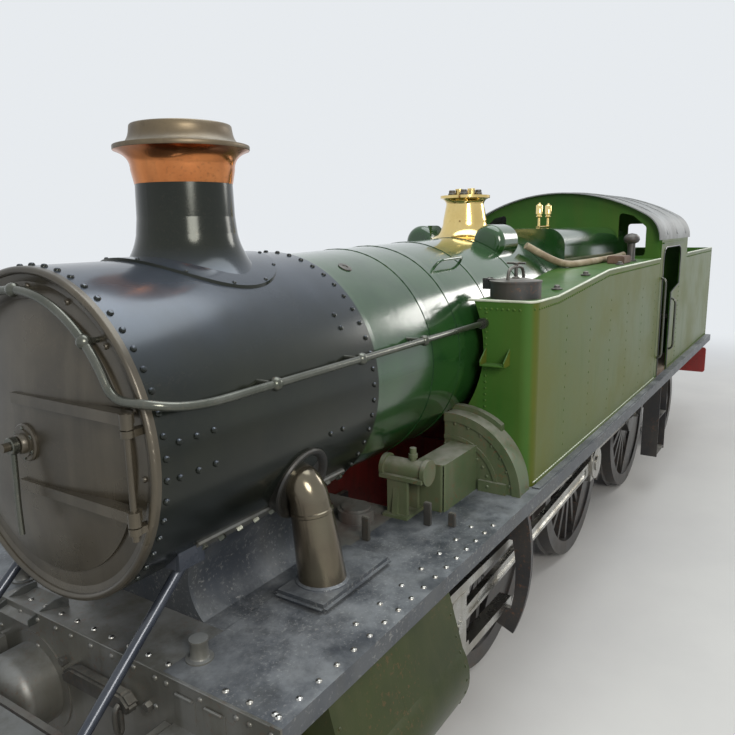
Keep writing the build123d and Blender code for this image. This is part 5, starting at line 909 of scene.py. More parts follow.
def prism(name, rings, bevel, finish, body):
    """A solid between rings of corners, closed at both ends."""
    shape = bmesh.new()
    rings = [[shape.verts.new(corner) for corner in ring] for ring in rings]
    shape.faces.new(rings[0])
    shape.faces.new(rings[-1][::-1])
    join_rings(shape, rings)
    bmesh.ops.recalc_face_normals(shape, faces=shape.faces)
    bmesh.ops.bevel(shape, geom=list(shape.edges), offset=bevel * MM, segments=BEVEL_STEPS,
                    affect="EDGES")
    return finish_piece(name, shape, finish, body)


def strip(name, points, out, up, wide, thick, finish, body="engine"):
    """A flat strip along points in millimetres; out is across its face and up along its width."""
    face = Vector(out).normalized() * thick * MM
    rise = Vector(up).normalized() * wide * MM
    rings = [[at(*point) + rise * across + face * deep for across, deep in STRIP_SECTION]
             for point in points]
    return prism(name, rings, min(wide, thick) * STRIP_BEVEL, finish, body)


def cut_plate(name, outline, thick, finish, body="engine", bevel=2.0):
    """A flat outline in millimetres, pushed along the vector thick."""
    near = [at(*point) for point in outline]
    far = [corner + Vector(thick) * MM for corner in near]
    return prism(name, (near, far), bevel, finish, body)


def rectangle(x, y, z, way=1.0):
    """The corners of a level rectangle between two distances and two side places."""
    return mirrored([(x[0], y[0], z), (x[1], y[0], z), (x[1], y[1], z), (x[0], y[1], z)], way)


print("strip section corners:", len(STRIP_SECTION))

# %% [markdown]
# A rounded beading runs along the tank's top edge, turns its corner and shows as a pale line. A
# flat angle bar closes the bottom, with a painted line above it and a foot strip on the plate.

# %% Tank edges
BEADING_R = 9.0
BEADING = ((-2035.0, 1184.0, 2819.0), (-2420.0, 1184.0, 2819.0), (-3800.0, 1184.0, 2929.0),
           (-6025.0, 1184.0, 2929.0))
CORNER_BEADING = ((-1932.0, 700.0, 2819.0), (-1932.0, 1085.0, 2819.0),
                  (-1940.0, 1180.0, 2819.0), (-2035.0, 1184.0, 2819.0))
ANGLE_BAR = ((-2040.0, 1190.0, 1514.0), (-6028.0, 1190.0, 1514.0))
FOOT_STRIP = ((-1960.0, 1222.0, 1500.0), (-6028.0, 1222.0, 1500.0))
PAINTED_LINE = ((-1990.0, 1191.0, 1533.0), (-6028.0, 1191.0, 1533.0))
for side, way in SIDES:
    bar("tank_beading_" + side, mirrored(BEADING, way), radius=BEADING_R, finish="pale_line",
        smooth=False)
    bar("tank_corner_beading_" + side, mirrored(CORNER_BEADING, way), radius=BEADING_R,
        finish="pale_line")
    strip("tank_bottom_angle_" + side, mirrored(ANGLE_BAR, way), (0, way, 0), UP,
          wide=26.0, thick=7.0, finish="green_tank")
    strip("tank_foot_strip_" + side, mirrored(FOOT_STRIP, way), UP, (0, 1, 0),
          wide=58.0, thick=9.0, finish="plate_grey")
    bar("tank_white_line_" + side, mirrored(PAINTED_LINE, way), radius=5.0, finish="pale_line",
        smooth=False)
print("tank edges on both sides")

# %% [markdown]
# A lamp bracket sticks out of each tank front: a narrow shelf with a pointed ear at each end.

# %% Lamp brackets
EAR_Y = (835.0, 1010.0)
SHELF_X = (-1932.0, -1830.0)
SHELF_Z = 2372.0
SHEET = 9.0
EAR = ((-1932.0, 0.0), (-1830.0, 0.0), (-1826.0, 34.0), (-1932.0, 120.0))
for side, way in SIDES:
    cut_plate("lamp_shelf_" + side, rectangle(SHELF_X, EAR_Y, SHELF_Z, way), (0, 0, SHEET),
              "green_tank")
    for number, y in enumerate(EAR_Y):
        ear = [(x, way * y, SHELF_Z + rise) for x, rise in EAR]
        cut_plate(f"lamp_ear_{side}_{number}", ear, (0, SHEET * way, 0), "green_tank")
print("lamp shelf at", SHELF_Z)

# %% [markdown]
# An angle iron lies along the foot of the smokebox, below its square nuts. It is a strip whose
# face leans outwards as the round shell does there.

# %% Angle iron under the foot nuts
IRON_X = (-570.0, 570.0)
SMOKEBOX_R = 745.0
((iron_y, iron_drop),) = around(SMOKEBOX_R, (NUT_ANGLE,))
for side, way in SIDES:
    iron = [(x, way * iron_y, SMOKEBOX_Z + iron_drop) for x in IRON_X]
    strip("foot_iron_" + side, iron, (0.0, way * iron_y, iron_drop),
          (0.0, -way * iron_drop, iron_y), wide=84.0, thick=11.0, finish="drop_plate")
print("angle irons from", IRON_X[0], "to", IRON_X[1])

# %% [markdown]
# The outside steam pipes are the roundest things in the picture, so facets would show on them.
# Each is drawn again as one smooth tube that rises from the casing on the plate, narrows a
# little and bends into the smokebox. A dark flange lies on the shell there, a thin seam crosses
# the tube below the bend, and a ring closes its foot. Each of these is turned on a seat, which
# is a place and an axis.

# %% Steam pipes
PIPE_R = 128.0
PIPE_PATH = ((-75.0, 758.0, 1530.0), (-71.0, 735.0, 1720.0), (-62.0, 711.0, 1900.0),
             (-50.0, 692.0, 2035.0), (-42.0, 620.0, 2084.0), (-40.0, 500.0, 2092.0))
PIPE_TAPER = (1.0, 0.93, 0.85, 0.80, 0.78, 0.78)
ROUND_SIDES = 14
SEAM_R = 106.0
CASING_X = (-479.0, 157.0)
CASING_Y = (612.0, 940.0)
PLATE_TOP_Z = 1500.0
CASING_HIGH = 45.0
FLANGE_SEAT = ((-44.0, 664.0, 2058.0), (0.0, 0.95, -0.31))
SEAM_SEAT = ((-61.0, 709.5, 1915.0), (0.04, -0.13, 0.99))
FOOT_SEAT = ((-75.0, 757.0, PLATE_TOP_Z + CASING_HIGH - 2.0), (0.0, 0.0, 1.0))
FLANGE = ((-60, 90), (-60, 188), (-8, 192), (4, 197), (14, 192), (16, 180), (10, 168),
          (-12, 150), (-18, 90))
SEAM = ((-12, SEAM_R - 6), (-12, SEAM_R + 3), (-7, SEAM_R + 8), (7, SEAM_R + 8),
        (12, SEAM_R + 3), (12, SEAM_R - 6))
FOOT_RING = ((0, PIPE_R - 6), (0, PIPE_R + 16), (8, PIPE_R + 14), (16, PIPE_R - 4))
for side, way in SIDES:
    pipe = bar("steam_pipe_" + side, mirrored(PIPE_PATH, way), radius=PIPE_R,
               finish="steam_bronze", sides=ROUND_SIDES, taper=PIPE_TAPER)
    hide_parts("steam_pipes")
    place, axis = mirrored(FLANGE_SEAT, way)
    turned("pipe_flange_" + side, FLANGE, place, axis, "dark_seam")
    place, axis = mirrored(SEAM_SEAT, way)
    turned("pipe_seam_" + side, SEAM, place, axis, "steam_bronze")
    place, axis = mirrored(FOOT_SEAT, way)
    turned("pipe_foot_" + side, FOOT_RING, place, axis, "plate_grey")
    cut_plate("pipe_casing_" + side, rectangle(CASING_X, CASING_Y, PLATE_TOP_Z, way),
              (0, 0, CASING_HIGH), "plate_grey", bevel=20.0)
print("pipe radius:", PIPE_R)

# %% [markdown]
# Only the lower half of the chimney cap is polished copper. Heat has left its wide lip and its
# rim dull and brown. The cap is turned again as two pieces that meet below the lip, with the
# curves drawn through three points each.

# %% Chimney cap in two metals
def curved(first, middle, last, steps=10):
    """Points on a smooth curve through three pairs."""
    line = []
    for part in (step / steps for step in range(steps + 1)):
        near = (2 * part - 1) * (part - 1)
        half = 4 * part * (1 - part)
        far = part * (2 * part - 1)
        line.append(tuple(a * near + b * half + c * far for a, b, c in zip(first, middle, last)))
    return line


CAP_FOOT = (0, 0, 3560.0)
CAP_STEPS = 72
copper = [(70.0, 178.0), (0.0, 178.0), (0.0, 246.0)]
copper += curved((70.0, 260.0), (128.0, 278.0), (165.0, 338.0)) + [(166.0, 200.0)]
rim = [(165.5, 200.0), (165.5, 338.0), (170.0, 340.0), (184.0, 340.0), (188.0, 338.0)]
rim += curved((189.0, 334.0), (204.0, 280.0), (262.0, 256.0))
rim += [(283.0, 253.0), (288.0, 249.0), (289.5, 242.0), (286.0, 230.0), (70.0, 180.0)]
for name, profile, finish in (("cap_copper", copper, "copper_cap"),
                              ("cap_lip", rim, "dull_brown_lip")):
    piece = turned(name, profile, CAP_FOOT, UP, finish, steps=CAP_STEPS)
    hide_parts("chimney_cap")
print("rim points:", len(rim))

# %% [markdown]
# The smokebox door is locked by a dart: a flanged boss with a ring of bolts, and a long handle
# that hangs from it. They open with the door, so they ride on the door's body.

# %% Door dart
DOOR = "smokebox_door"
CROWN_X = 977.0
STUD_RING_R = 64.0
STUD_ANGLES = range(30, 360, 60)
HANDLE = ((70.0, 0.0, 18.0), (74.0, 4.0, -120.0), (84.0, 12.0, -260.0), (84.0, 16.0, -390.0))
crown = (CROWN_X, 0.0, SMOKEBOX_Z)
boss = ((-12, 0), (-12, 84), (16, 84), (22, 78), (24, 46), (46, 44), (52, 38), (52, 0))
stud = ((14, 0), (14, 11), (26, 11), (28, 8), (28, 0))
hub = ((56, 0), (56, 34), (60, 38), (86, 38), (90, 34), (90, 0))
turned("dart_boss", boss, crown, FORWARD, "door_brown", body=DOOR, steps=32)
for step, (y, rise) in enumerate(around(STUD_RING_R, STUD_ANGLES)):
    turned(f"dart_stud_{step}", stud, (CROWN_X, y, SMOKEBOX_Z + rise), FORWARD, "rail_steel",
           body=DOOR, steps=HEX_SIDES, smooth=False)
handle = [(CROWN_X + ahead, y, SMOKEBOX_Z + rise) for ahead, y, rise in HANDLE]
bar("dart_handle", handle, radius=13.0, finish="rail_steel", body=DOOR)
turned("dart_hub", hub, crown, FORWARD, "rail_steel", body=DOOR, steps=24)
print("dart handle hangs to", handle[-1][2])

# %% [markdown]
# A bent strap holds each filler lid down, with a screw through its middle and a grip across the
# screw. They swing up with the lid, so they ride on its body.

# %% Clamps of the filler lids
FILLER_X = -2180.0
FILLER_Y = 950.0
CLAMP_LINE = ((150.0, -4.0), (145.0, 62.0), (60.0, 84.0), (-60.0, 84.0), (-145.0, 62.0),
              (-150.0, -4.0))
GRIP_HALF = 70.0
GRIP_HIGH = 108.0
screw = ((-3, 0), (-3, 26), (8, 26), (14, 13), (96, 13), (98, 22), (112, 22), (116, 0))
for side, way in SIDES:
    lid = "tank_lid_" + side
    y = way * FILLER_Y
    z = top_of(lid, FILLER_X, y)
    arch = [(FILLER_X + ahead, y, z + rise) for ahead, rise in CLAMP_LINE]
    bar("lid_clamp_" + side, arch, radius=12.0, finish="cast_black", body=lid)
    turned("lid_screw_" + side, screw, (FILLER_X, y, z), UP, "cast_black", body=lid, steps=16)
    grip = [(FILLER_X, y - way * GRIP_HALF, z + GRIP_HIGH),
            (FILLER_X, y + way * GRIP_HALF, z + GRIP_HIGH)]
    bar("lid_grip_" + side, grip, radius=8.0, finish="cast_black", body=lid, smooth=False)
print("lid top at", round(z))

# %% [markdown]
# Clutter lives on the tank tops: a lagged pipe from the clack valve to the cab, a mushroom
# ventilator, lifting eyes and a rusty pricker block.

# %% On top of the tanks
TANK_TOP_Z = 2929.0
EYE_Y = 1080.0
EYE_PLACES = (-2700.0, -3450.0, -4600.0)
VENT_PLACE = (-5350.0, 1010.0, TANK_TOP_Z)
BLOCK_X = (-4780.0, -5080.0)
BLOCK_Y = (905.0, 1075.0)
BLOCK_HIGH = 78.0
LAGGED_PIPE = ((-3560.0, 500.0, 3150.0), (-3700.0, 640.0, 3040.0), (-3900.0, 760.0, 2962.0),
               (-4300.0, 800.0, 2962.0), (-4900.0, 800.0, 2962.0), (-5400.0, 790.0, 2962.0),
               (-5750.0, 780.0, 2962.0), (-6025.0, 770.0, 2975.0))
mushroom = ((0, 62), (14, 62), (18, 44), (30, 40), (190, 40), (196, 52), (205, 70), (232, 84),
            (262, 78), (290, 48), (300, 0))
eye = ((0, 0), (0, 42), (9, 42), (12, 26), (16, 24), (30, 22), (36, 12), (37, 0))
for side, way in SIDES:
    bar("lagged_pipe_" + side, mirrored(LAGGED_PIPE, way), radius=33.0, finish="lagging_cream")
    turned("tank_vent_" + side, mushroom, *mirrored((VENT_PLACE, UP), way), "cast_black",
           steps=24)
    for number, x in enumerate(EYE_PLACES):
        foot = (x, way * EYE_Y, top_of("side_tanks", x, way * EYE_Y))
        turned(f"tank_eye_{side}_{number}", eye, foot, UP, "cast_black", steps=18)
    block = rectangle(BLOCK_X, BLOCK_Y, TANK_TOP_Z, way)
    cut_plate("pricker_block_" + side, block, (0, 0, BLOCK_HIGH), "rust_brown", bevel=9.0)
print("tank tops dressed")

# %% [markdown]
# Two whistles stand on the firebox in front of the cab. Each is a bell on a thin stem over a
# shared branch pipe.

# %% Whistles
WHISTLE_Y = 200.0
WHISTLE_FOOT_Z = 3290.0
WHISTLE_PLACES = (-4720.0, -5000.0)
BRANCH_Z = 3302.0
BRANCH_X = (-4690.0, -5030.0)
bell = ((-20, 0), (-20, 26), (0, 26), (8, 14), (110, 12), (118, 20), (126, 33), (130, 33),
        (134, 24), (150, 24), (154, 34), (240, 34), (250, 26), (258, 10), (268, 8), (272, 0))
for number, x in enumerate(WHISTLE_PLACES):
    turned(f"whistle_{number}_0", bell, (x, WHISTLE_Y, WHISTLE_FOOT_Z), UP, "brass_bright",
           steps=24)
branch = [(x, WHISTLE_Y, BRANCH_Z) for x in BRANCH_X]
bar("whistle_branch", branch, radius=22.0, finish="brass_bright", smooth=False)
print("whistles:", len(WHISTLE_PLACES))

# %% [markdown]
# The running plate is trodden every day, and its rivets are polished by boots. A long row
# follows the outer edge, a sparser one lies further in, and a third crosses in front of the
# smokebox. The same rays serve the platform in front, because each solid keeps its own hits.

# %% Running plate rivets
EDGE_ROW_Y = 1212.0
EDGE_ROW_X = range(-1230, 850, 128)
IN_ROW_Y = 1105.0
IN_ROW_X = range(-1140, 340, 212)
ACROSS_X = 812.0
ACROSS_ENDS = (-1190, -1060, -930, 930, 1060, 1190)
ACROSS_MIDDLE = range(-560, 600, 128)
PLATE_RAY_Z = 1700.0
plate_pairs = [(x, way * EDGE_ROW_Y) for x in EDGE_ROW_X for _, way in SIDES]
plate_pairs += [(ACROSS_X, y) for y in ACROSS_ENDS]
plate_pairs += [(x, way * IN_ROW_Y) for x in IN_ROW_X for _, way in SIDES]
plate_pairs += [(ACROSS_X, y) for y in ACROSS_MIDDLE]
plate_spots = from_above(plate_pairs, top=PLATE_RAY_Z)
heads("running_plate_rivets", "running_plates", plate_spots, radius=16.0, height=10.0,
      finish="bright_steel")
heads("platform_rivets", "front_platform", plate_spots, radius=15.0, height=9.0,
      finish="bright_steel")

# %% [markdown]
# A drop plate closes the front below the smokebox. It has a row of rivets near its top edge and
# a few lower down, a bright rubbed edge, two hinged flaps, and a cast bracket whose link hangs
# between two large bolts.

# %% Drop plate
DROP_FACE_X = 869.0
FRONT_RAY_X = 1400.0
FLAP_Z = (1322.0, 1440.0)
FLAP_WIDE = 120.0
FLAP_PLACES = (690.0, 860.0)
HINGE_INSET = 12.0
HINGE_PROUD = 8.0
TOP_ROW_Y = (-1150, -1010, -870, -730, -590, -440, -290, -140, -20, 130, 280, 430, 570, 640,
             840, 1040, 1110, 1220)
TOP_ROW_Z = 1462.0
LOW_ROW_Y = (-640, -300, 300, 560)
LOW_ROW_Z = 1320.0
BRACKET = ((-30.0, 1252.0), (430.0, 1252.0), (450.0, 1300.0), (400.0, 1345.0), (30.0, 1345.0),
           (-40.0, 1300.0))
BRACKET_BOLTS = ((520.0, 1310.0), (-90.0, 1310.0))
LINK_Y = 392.0
LINK = ((935.0, 1300.0), (962.0, 1288.0), (958.0, 1180.0), (940.0, 1160.0), (926.0, 1180.0),
        (930.0, 1275.0))
drop_pairs = [(y, TOP_ROW_Z) for y in TOP_ROW_Y] + [(y, LOW_ROW_Z) for y in LOW_ROW_Y]
heads("drop_plate_rivets", "front_platform", along_engine(drop_pairs, FRONT_RAY_X),
      radius=14.0, height=10.0, finish="drop_plate")
edge_line = [(DROP_FACE_X, -1215.0, 1497.0), (DROP_FACE_X, 1215.0, 1497.0)]
bar("drop_plate_edge", edge_line, radius=5.0, finish="drop_plate", smooth=False)
for number, y in enumerate(FLAP_PLACES):
    low, high = FLAP_Z
    flap = [(DROP_FACE_X, y, low), (DROP_FACE_X, y + FLAP_WIDE, low),
            (DROP_FACE_X, y + FLAP_WIDE, high), (DROP_FACE_X, y, high)]
    cut_plate(f"front_flap_{number}", flap, (4, 0, 0), "drop_plate", bevel=1.0)
    pin = [(DROP_FACE_X + HINGE_PROUD, end, high)
           for end in (y + HINGE_INSET, y + FLAP_WIDE - HINGE_INSET)]
    bar(f"front_flap_hinge_{number}", pin, radius=7.0, finish="drop_plate", smooth=False)
bracket = [(DROP_FACE_X, y, z) for y, z in BRACKET]
cut_plate("front_bracket", bracket, (62, 0, 0), "cast_black", bevel=12.0)
heads("front_bracket_bolts", "front_platform", along_engine(BRACKET_BOLTS, FRONT_RAY_X),
      radius=24.0, height=26.0, finish="cast_black", sides=HEX_SIDES, profile=FLAT_HEAD)
bar("front_bracket_link", [(x, LINK_Y, z) for x, z in LINK], radius=13.0, finish="cast_black")
print("drop plate rivets asked for:", len(drop_pairs))

# %% [markdown]
# An ash lip lets the sweepings of the smokebox fall clear of the plate. It is a short chute with
# two dark curved cheeks.

# %% Ash lip
lip = [(745.0, -480.0, 1522.0), (745.0, -215.0, 1522.0), (905.0, -320.0, 1432.0),
       (905.0, -590.0, 1432.0)]
cut_plate("ash_lip", lip, (4, 0, 8), "drop_plate", bevel=2.0)
for number, (back, front) in enumerate(((-215.0, -322.0), (-482.0, -590.0))):
    bend = (back * 2 + front) / 3
    cheek = [(745.0, back, 1500.0), (745.0, back, 1560.0), (800.0, bend, 1545.0),
             (905.0, front, 1465.0), (905.0, front, 1428.0), (800.0, bend, 1480.0)]
    cut_plate(f"ash_lip_cheek_{number}", cheek, (2, 9, 0), "black_line", bevel=2.0)
print("ash lip made")

# %% [markdown]
# Small posts stand about on the plate: three flat stubs on the left and a round oil post on each
# side. They were placed from the photograph, and a ray finds the plate that carries each stub.

# %% Posts on the running plate
POST_HALF_LONG = 16.0
POSTS = (("a", -650.0, 650.0, 46.0, 150.0), ("b", -1030.0, 860.0, 46.0, 150.0),
         ("c", -1090.0, 1000.0, 44.0, 90.0))
for name, x, y, wide, high in POSTS:
    carriers = ("running_plates", "front_platform")
    found = [top_of(carrier, x, y, start=1750.0) for carrier in carriers]
    foot_z = next((z for z in found if z is not None), PLATE_TOP_Z)
    square = rectangle((x - POST_HALF_LONG, x + POST_HALF_LONG), (y - wide / 2, y + wide / 2),
                       foot_z)
    cut_plate("plate_post_" + name, square, (0, 0, high), "cast_black", bevel=4.0)
    print("post", name, "stands at", round(foot_z))
round_post = ((0, 62), (7, 62), (10, 44), (16, 40), (80, 40), (84, 43), (96, 43), (98, 30),
              (98, 0))
for name, y in (("oil_post", 673.0), ("oil_post_right", -673.0)):
    turned(name, round_post, (708.0, y, PLATE_TOP_Z), UP, "drop_plate", steps=24)

# %% [markdown]
# Two rows of round bolt heads hold each buffer beam to the frames and the plates behind it.

# %% Beams
ENDS = (("front", 1400.0, 1.0), ("rear", -10200.0, -1.0))
BEAM_RAY = 500.0
BEAM_ROW_Y = range(-1150, 1151, 164)
BEAM_ROWS_Z = (895.0, 1225.0)
beam_pairs = [(y, z) for y in BEAM_ROW_Y for z in BEAM_ROWS_Z]
for end, x, way in ENDS:
    beam_spots = along_engine(beam_pairs, x + way * BEAM_RAY, way=-way)
    heads(end + "_beam_bolts", end + "_buffer_beam", beam_spots, radius=17.0, height=13.0,
          finish="beam_red")

# %% [markdown]
# The arch plates in front of the tanks carry two rings of small round heads.

# %% Arch heads
ARCH_Y = 660.0
ARCH_RINGS = (300.0, 455.0)
ARCH_ANGLES = range(8, 173, 13)
ARCH_RAY_X = -1300.0
arch_pairs = []
for _, way in SIDES:
    for spots in zip(*(around(radius, ARCH_ANGLES) for radius in ARCH_RINGS)):
        arch_pairs += [(way * ARCH_Y + out, PLATE_TOP_Z + rise) for out, rise in spots]
heads("arch_rivets", "tank_arches", along_engine(arch_pairs, ARCH_RAY_X),
      radius=12.0, height=8.0, finish="weathered_green")

# %% [markdown]
# The cylinder's cladding sheet is held by small screws along its edges, and its round covers by
# a ring of nuts at the front and the back.

# %% Cylinder nuts and screws
CYLINDER_Z = 927.0
CYLINDER_Y = 1080.0
COVER_NUT_R = 232.0
COVER_NUT_ANGLES = range(0, 360, 30)
COVER_RAY_X = 900.0
SCREW_RAY = 800.0
SCREW_ROWS_X = (-505.0, 525.0)
SCREW_ANGLES = range(-60, 61, 15)
nut_spots = []
screw_spots = []
for _, side_way in SIDES:
    middle = side_way * CYLINDER_Y
    for out, rise in around(COVER_NUT_R, COVER_NUT_ANGLES):
        for way in (-1.0, 1.0):
            nut_spots += along_engine(((middle + out, CYLINDER_Z + rise),), -way * COVER_RAY_X,
                                      way=way)
    for x in SCREW_ROWS_X:
        for out, rise in around(SCREW_RAY, SCREW_ANGLES):
            start = (x, middle + side_way * out, CYLINDER_Z + rise)
            screw_spots.append((start, (x, middle, CYLINDER_Z)))
heads("cylinder_cover_nuts", "cylinders", nut_spots, radius=20.0, height=20.0,
      finish="bright_steel", sides=HEX_SIDES, profile=FLAT_HEAD)
heads("cylinder_clad_screws", "cylinders", screw_spots, radius=9.0, height=4.0,
      finish="green_cylinder")

# %% [markdown]
# The cab and bunker are thin plate too, with small rivets along their seams. A pale beading
# closes the bunker's top edge as it does the tank's.

# %% Cab and bunker rivets
CAB_ROWS = ((((-6060.0, 1532.0), (-6170.0, 1532.0)), 40.0),
            (((-6800.0, 1532.0), (-7740.0, 1532.0)), 60.0),
            (((-7300.0, 1600.0), (-7300.0, 3000.0)), 60.0))
BUNKER_ROWS = ((((-7790.0, 1532.0), (-10090.0, 1532.0)), 60.0),
               (((-7790.0, 2880.0), (-10090.0, 2880.0)), 60.0),
               (((-10060.0, 1560.0), (-10060.0, 2860.0)), 60.0))
BUNKER_BEADING = ((-7770.0, 1190.0, 2931.0), (-10050.0, 1190.0, 2931.0))
for name, node, rows in (("cab_rivets", "cab_sides", CAB_ROWS),
                         ("bunker_rivets", "bunker", BUNKER_ROWS)):
    pairs = [pair for line, pitch in rows for pair in along_line(line, pitch)]
    heads(name, node, both_sides(pairs), radius=8.5, height=6.0, finish="green_tank")
for side, way in SIDES:
    bar("bunker_beading_" + side, mirrored(BUNKER_BEADING, way), radius=10.0, finish="pale_line",
        smooth=False)

# %% [markdown]
# The back and the far side are seen by anyone who walks round. Beading frames the doorway and
# the window beside it, a rain strip runs above them, handrails stand by the steps, and three
# ribs stiffen the roof. The ribs follow the curved sheet because each of their points is found
# by a ray.

# %% Cab openings, handrails and roof ribs
BEADING_Y = 1191.0
GUTTER_Y = 1192.0
DOOR_LINE = ((-6190.0, 1512.0), (-6190.0, 2935.0), (-6225.0, 3017.0), (-6310.0, 3052.0),
             (-7160.0, 3052.0), (-7245.0, 3017.0), (-7282.0, 2935.0), (-7282.0, 2562.0),
             (-6782.0, 2482.0), (-6782.0, 1512.0))
GUTTER = ((-6080.0, GUTTER_Y, 3102.0), (-7500.0, GUTTER_Y, 3102.0))
RAIL_Y = (1186.0, 1240.0)
RAIL_LOW_Z = 1760.0
RAIL_PLACES = ((-6130.0, 2700.0), (-6850.0, 2400.0))
RAIL_BEND = 140.0
RIB_LIFT = 6.0
RIB_PLACES = (-6350.0, -6950.0, -7550.0)
RIB_ANGLES = range(14, 167, 8)
ROOF_AXIS_Z = 2900.0
for side, way in SIDES:
    beading = [(x, way * BEADING_Y, z) for x, z in DOOR_LINE]
    bar("doorway_beading_" + side, beading, radius=8.0, finish="black_line", smooth=False)
    strip("rain_strip_" + side, mirrored(GUTTER, way), (0, way, 0), UP,
          wide=16.0, thick=18.0, finish="green_tank")
    for number, (x, top) in enumerate(RAIL_PLACES):
        near, far = RAIL_Y
        rail = [(x, near, RAIL_LOW_Z), (x, far, RAIL_LOW_Z), (x, far, RAIL_LOW_Z + RAIL_BEND),
                (x, far, top - RAIL_BEND), (x, far, top), (x, near, top)]
        bar(f"cab_rail_{side}_{number}", mirrored(rail, way), radius=14.0, finish="rail_steel")
for number, x in enumerate(RIB_PLACES):
    rays = towards_axis(x, ROOF_AXIS_Z, RIB_ANGLES)
    landings = [touch("cab_roof", at(*start), at(*aim)) for start, aim in rays]
    rib = [in_mm(landed[0] + landed[1] * RIB_LIFT * MM) for landed in landings if landed]
    bar(f"roof_rib_{number}", rib, radius=9.0, finish="roof_grey")
print("rib points:", len(rib))

# %% [markdown]
# The bunker's back carries rows of rivets, four lamp irons, two steps and a handrail. All of
# them stand on the back plate, so they are measured backwards from it.

# %% Bunker back
BACK_X = -10130.0
BACK_RAY = 400.0
LEVEL_ROWS_Z = (1540.0, 2200.0, 2885.0)
LEVEL_ROW_Y = range(-1130, 1131, 60)
UPRIGHT_ROW_Y = 1140.0
UPRIGHT_ROW_Z = range(1600, 2860, 60)
back_pairs = [(y, z) for z in LEVEL_ROWS_Z for y in LEVEL_ROW_Y]
back_pairs += [(way * UPRIGHT_ROW_Y, z) for _, way in SIDES for z in UPRIGHT_ROW_Z]
back_spots = along_engine(back_pairs, BACK_X - BACK_RAY, way=1.0)
heads("bunker_back_rivets", "bunker", back_spots, radius=8.5, height=6.0, finish="green_tank")
IRON_LINE = ((0.0, 0.0), (62.0, 0.0), (62.0, 110.0), (52.0, 110.0), (52.0, 12.0), (0.0, 12.0))
IRON_PLACES = ((-900.0, 1700.0), (0.0, 1700.0), (900.0, 1700.0), (0.0, 2600.0))
IRON_WIDE = 30.0
IRON_SHIFT = 6.0
STEP_PLACES = (1850.0, 2250.0)
STEP_OUT = 110.0
STEP_Y = (520.0, 780.0)
for number, (y, z) in enumerate(IRON_PLACES):
    iron = [(BACK_X - out, y - IRON_SHIFT, z + rise) for out, rise in IRON_LINE]
    cut_plate(f"lamp_iron_{number}", iron, (0, IRON_WIDE, 0), "rail_steel", bevel=1.5)
for number, z in enumerate(STEP_PLACES):
    tread = rectangle((BACK_X, BACK_X - STEP_OUT), STEP_Y, z)
    cut_plate(f"bunker_step_{number}", tread, (0, 0, SHEET), "frame_black")
BACK_RAIL_Z = 2740.0
BACK_RAIL = ((-3.0, -700.0), (60.0, -700.0), (60.0, -300.0), (60.0, 300.0), (60.0, 700.0),
             (-3.0, 700.0))
bar("bunker_rail", [(BACK_X - out, y, BACK_RAIL_Z) for out, y in BACK_RAIL], radius=14.0,
    finish="rail_steel")

# %% [markdown]
# A screw coupling hangs from each draw hook: a pin, two side links, a nut, the screw with its
# handle, and a shackle on a lower cross bar. Each is a bar, so a table of names, radii and
# points is enough, with a mark for those that bend. The points are measured outwards, to the
# left and up from the draw hook.

# %% Screw couplings
HOOK_Z = 1060.0
HOOK_OUT = 62.0
COUPLING_BARS = (
    ("pin_{}", 19.0, False, ((0.0, -58.0, 0.0), (0.0, 58.0, 0.0))),
    ("link_{}_0", 15.0, True, ((0.0, -46.0, 6.0), (20.0, -46.0, -90.0), (24.0, -46.0, -200.0))),
    ("link_{}_1", 15.0, True, ((0.0, 46.0, 6.0), (20.0, 46.0, -90.0), (24.0, 46.0, -200.0))),
    ("nut_{}", 24.0, False, ((24.0, -66.0, -200.0), (24.0, 66.0, -200.0))),
    ("screw_{}", 18.0, False, ((24.0, 0.0, -200.0), (24.0, 0.0, -420.0))),
    ("handle_{}", 9.0, False, ((24.0, 0.0, -300.0), (64.0, 90.0, -330.0))),
    ("shackle_{}", 16.0, True, ((24.0, -50.0, -380.0), (24.0, -52.0, -500.0),
                                (24.0, 0.0, -590.0), (24.0, 52.0, -500.0),
                                (24.0, 50.0, -380.0))),
    ("end_{}", 22.0, False, ((24.0, -66.0, -385.0), (24.0, 66.0, -385.0))),
)


def from_hook(points, x, way):
    """Turns points measured from a draw hook into places on the engine."""
    return [(x + way * (HOOK_OUT + out), y, HOOK_Z + rise) for out, y, rise in points]


for end, x, way in ENDS:
    for part, radius, bent, points in COUPLING_BARS:
        bar("coupling_" + part.format(end), from_hook(points, x, way), radius=radius,
            finish="frame_black", smooth=bent)
print("bars in each coupling:", len(COUPLING_BARS))

# %% [markdown]
# A studio has a pale floor and soft light. The floor is a large sheet that keeps the engine's
# shadow near it and fades to the background colour further away, where only the camera,
# reflections and glass look. So no horizon line shows. The world does the same: those rays see
# the background, and everything else gets a weaker fill. Both need one mask and one mix.

# %% Floor
FLOOR_HALF = 90.0
FLOOR_GRID = 8
FADE = (8.0, 17.0)
FLOOR_ROUGH = 0.9
FLOOR_TONES = ((0.60, 0.59, 0.57), (0.66, 0.65, 0.62))
BACKGROUND = (0.80, 0.83, 0.86, 1.0)


def seen_straight(tree):
    """White for the rays of the camera, of reflections and through glass."""
    rays = tree.nodes.new("ShaderNodeLightPath")
    seen = sums(tree, "MAXIMUM", rays.outputs["Is Camera Ray"], rays.outputs["Is Glossy Ray"])
    return sums(tree, "MAXIMUM", seen, rays.outputs["Is Transmission Ray"])


def mix_out(tree, mask, under, over, output):
    """Mixes two shaders and leads the result to the output node."""
    mix = tree.nodes.new("ShaderNodeMixShader")
    for socket, value in zip(mix.inputs, (mask, under.outputs[0], over.outputs[0])):
        feed(tree, value, socket)
    feed(tree, mix.outputs[0], tree.nodes[output].inputs["Surface"])


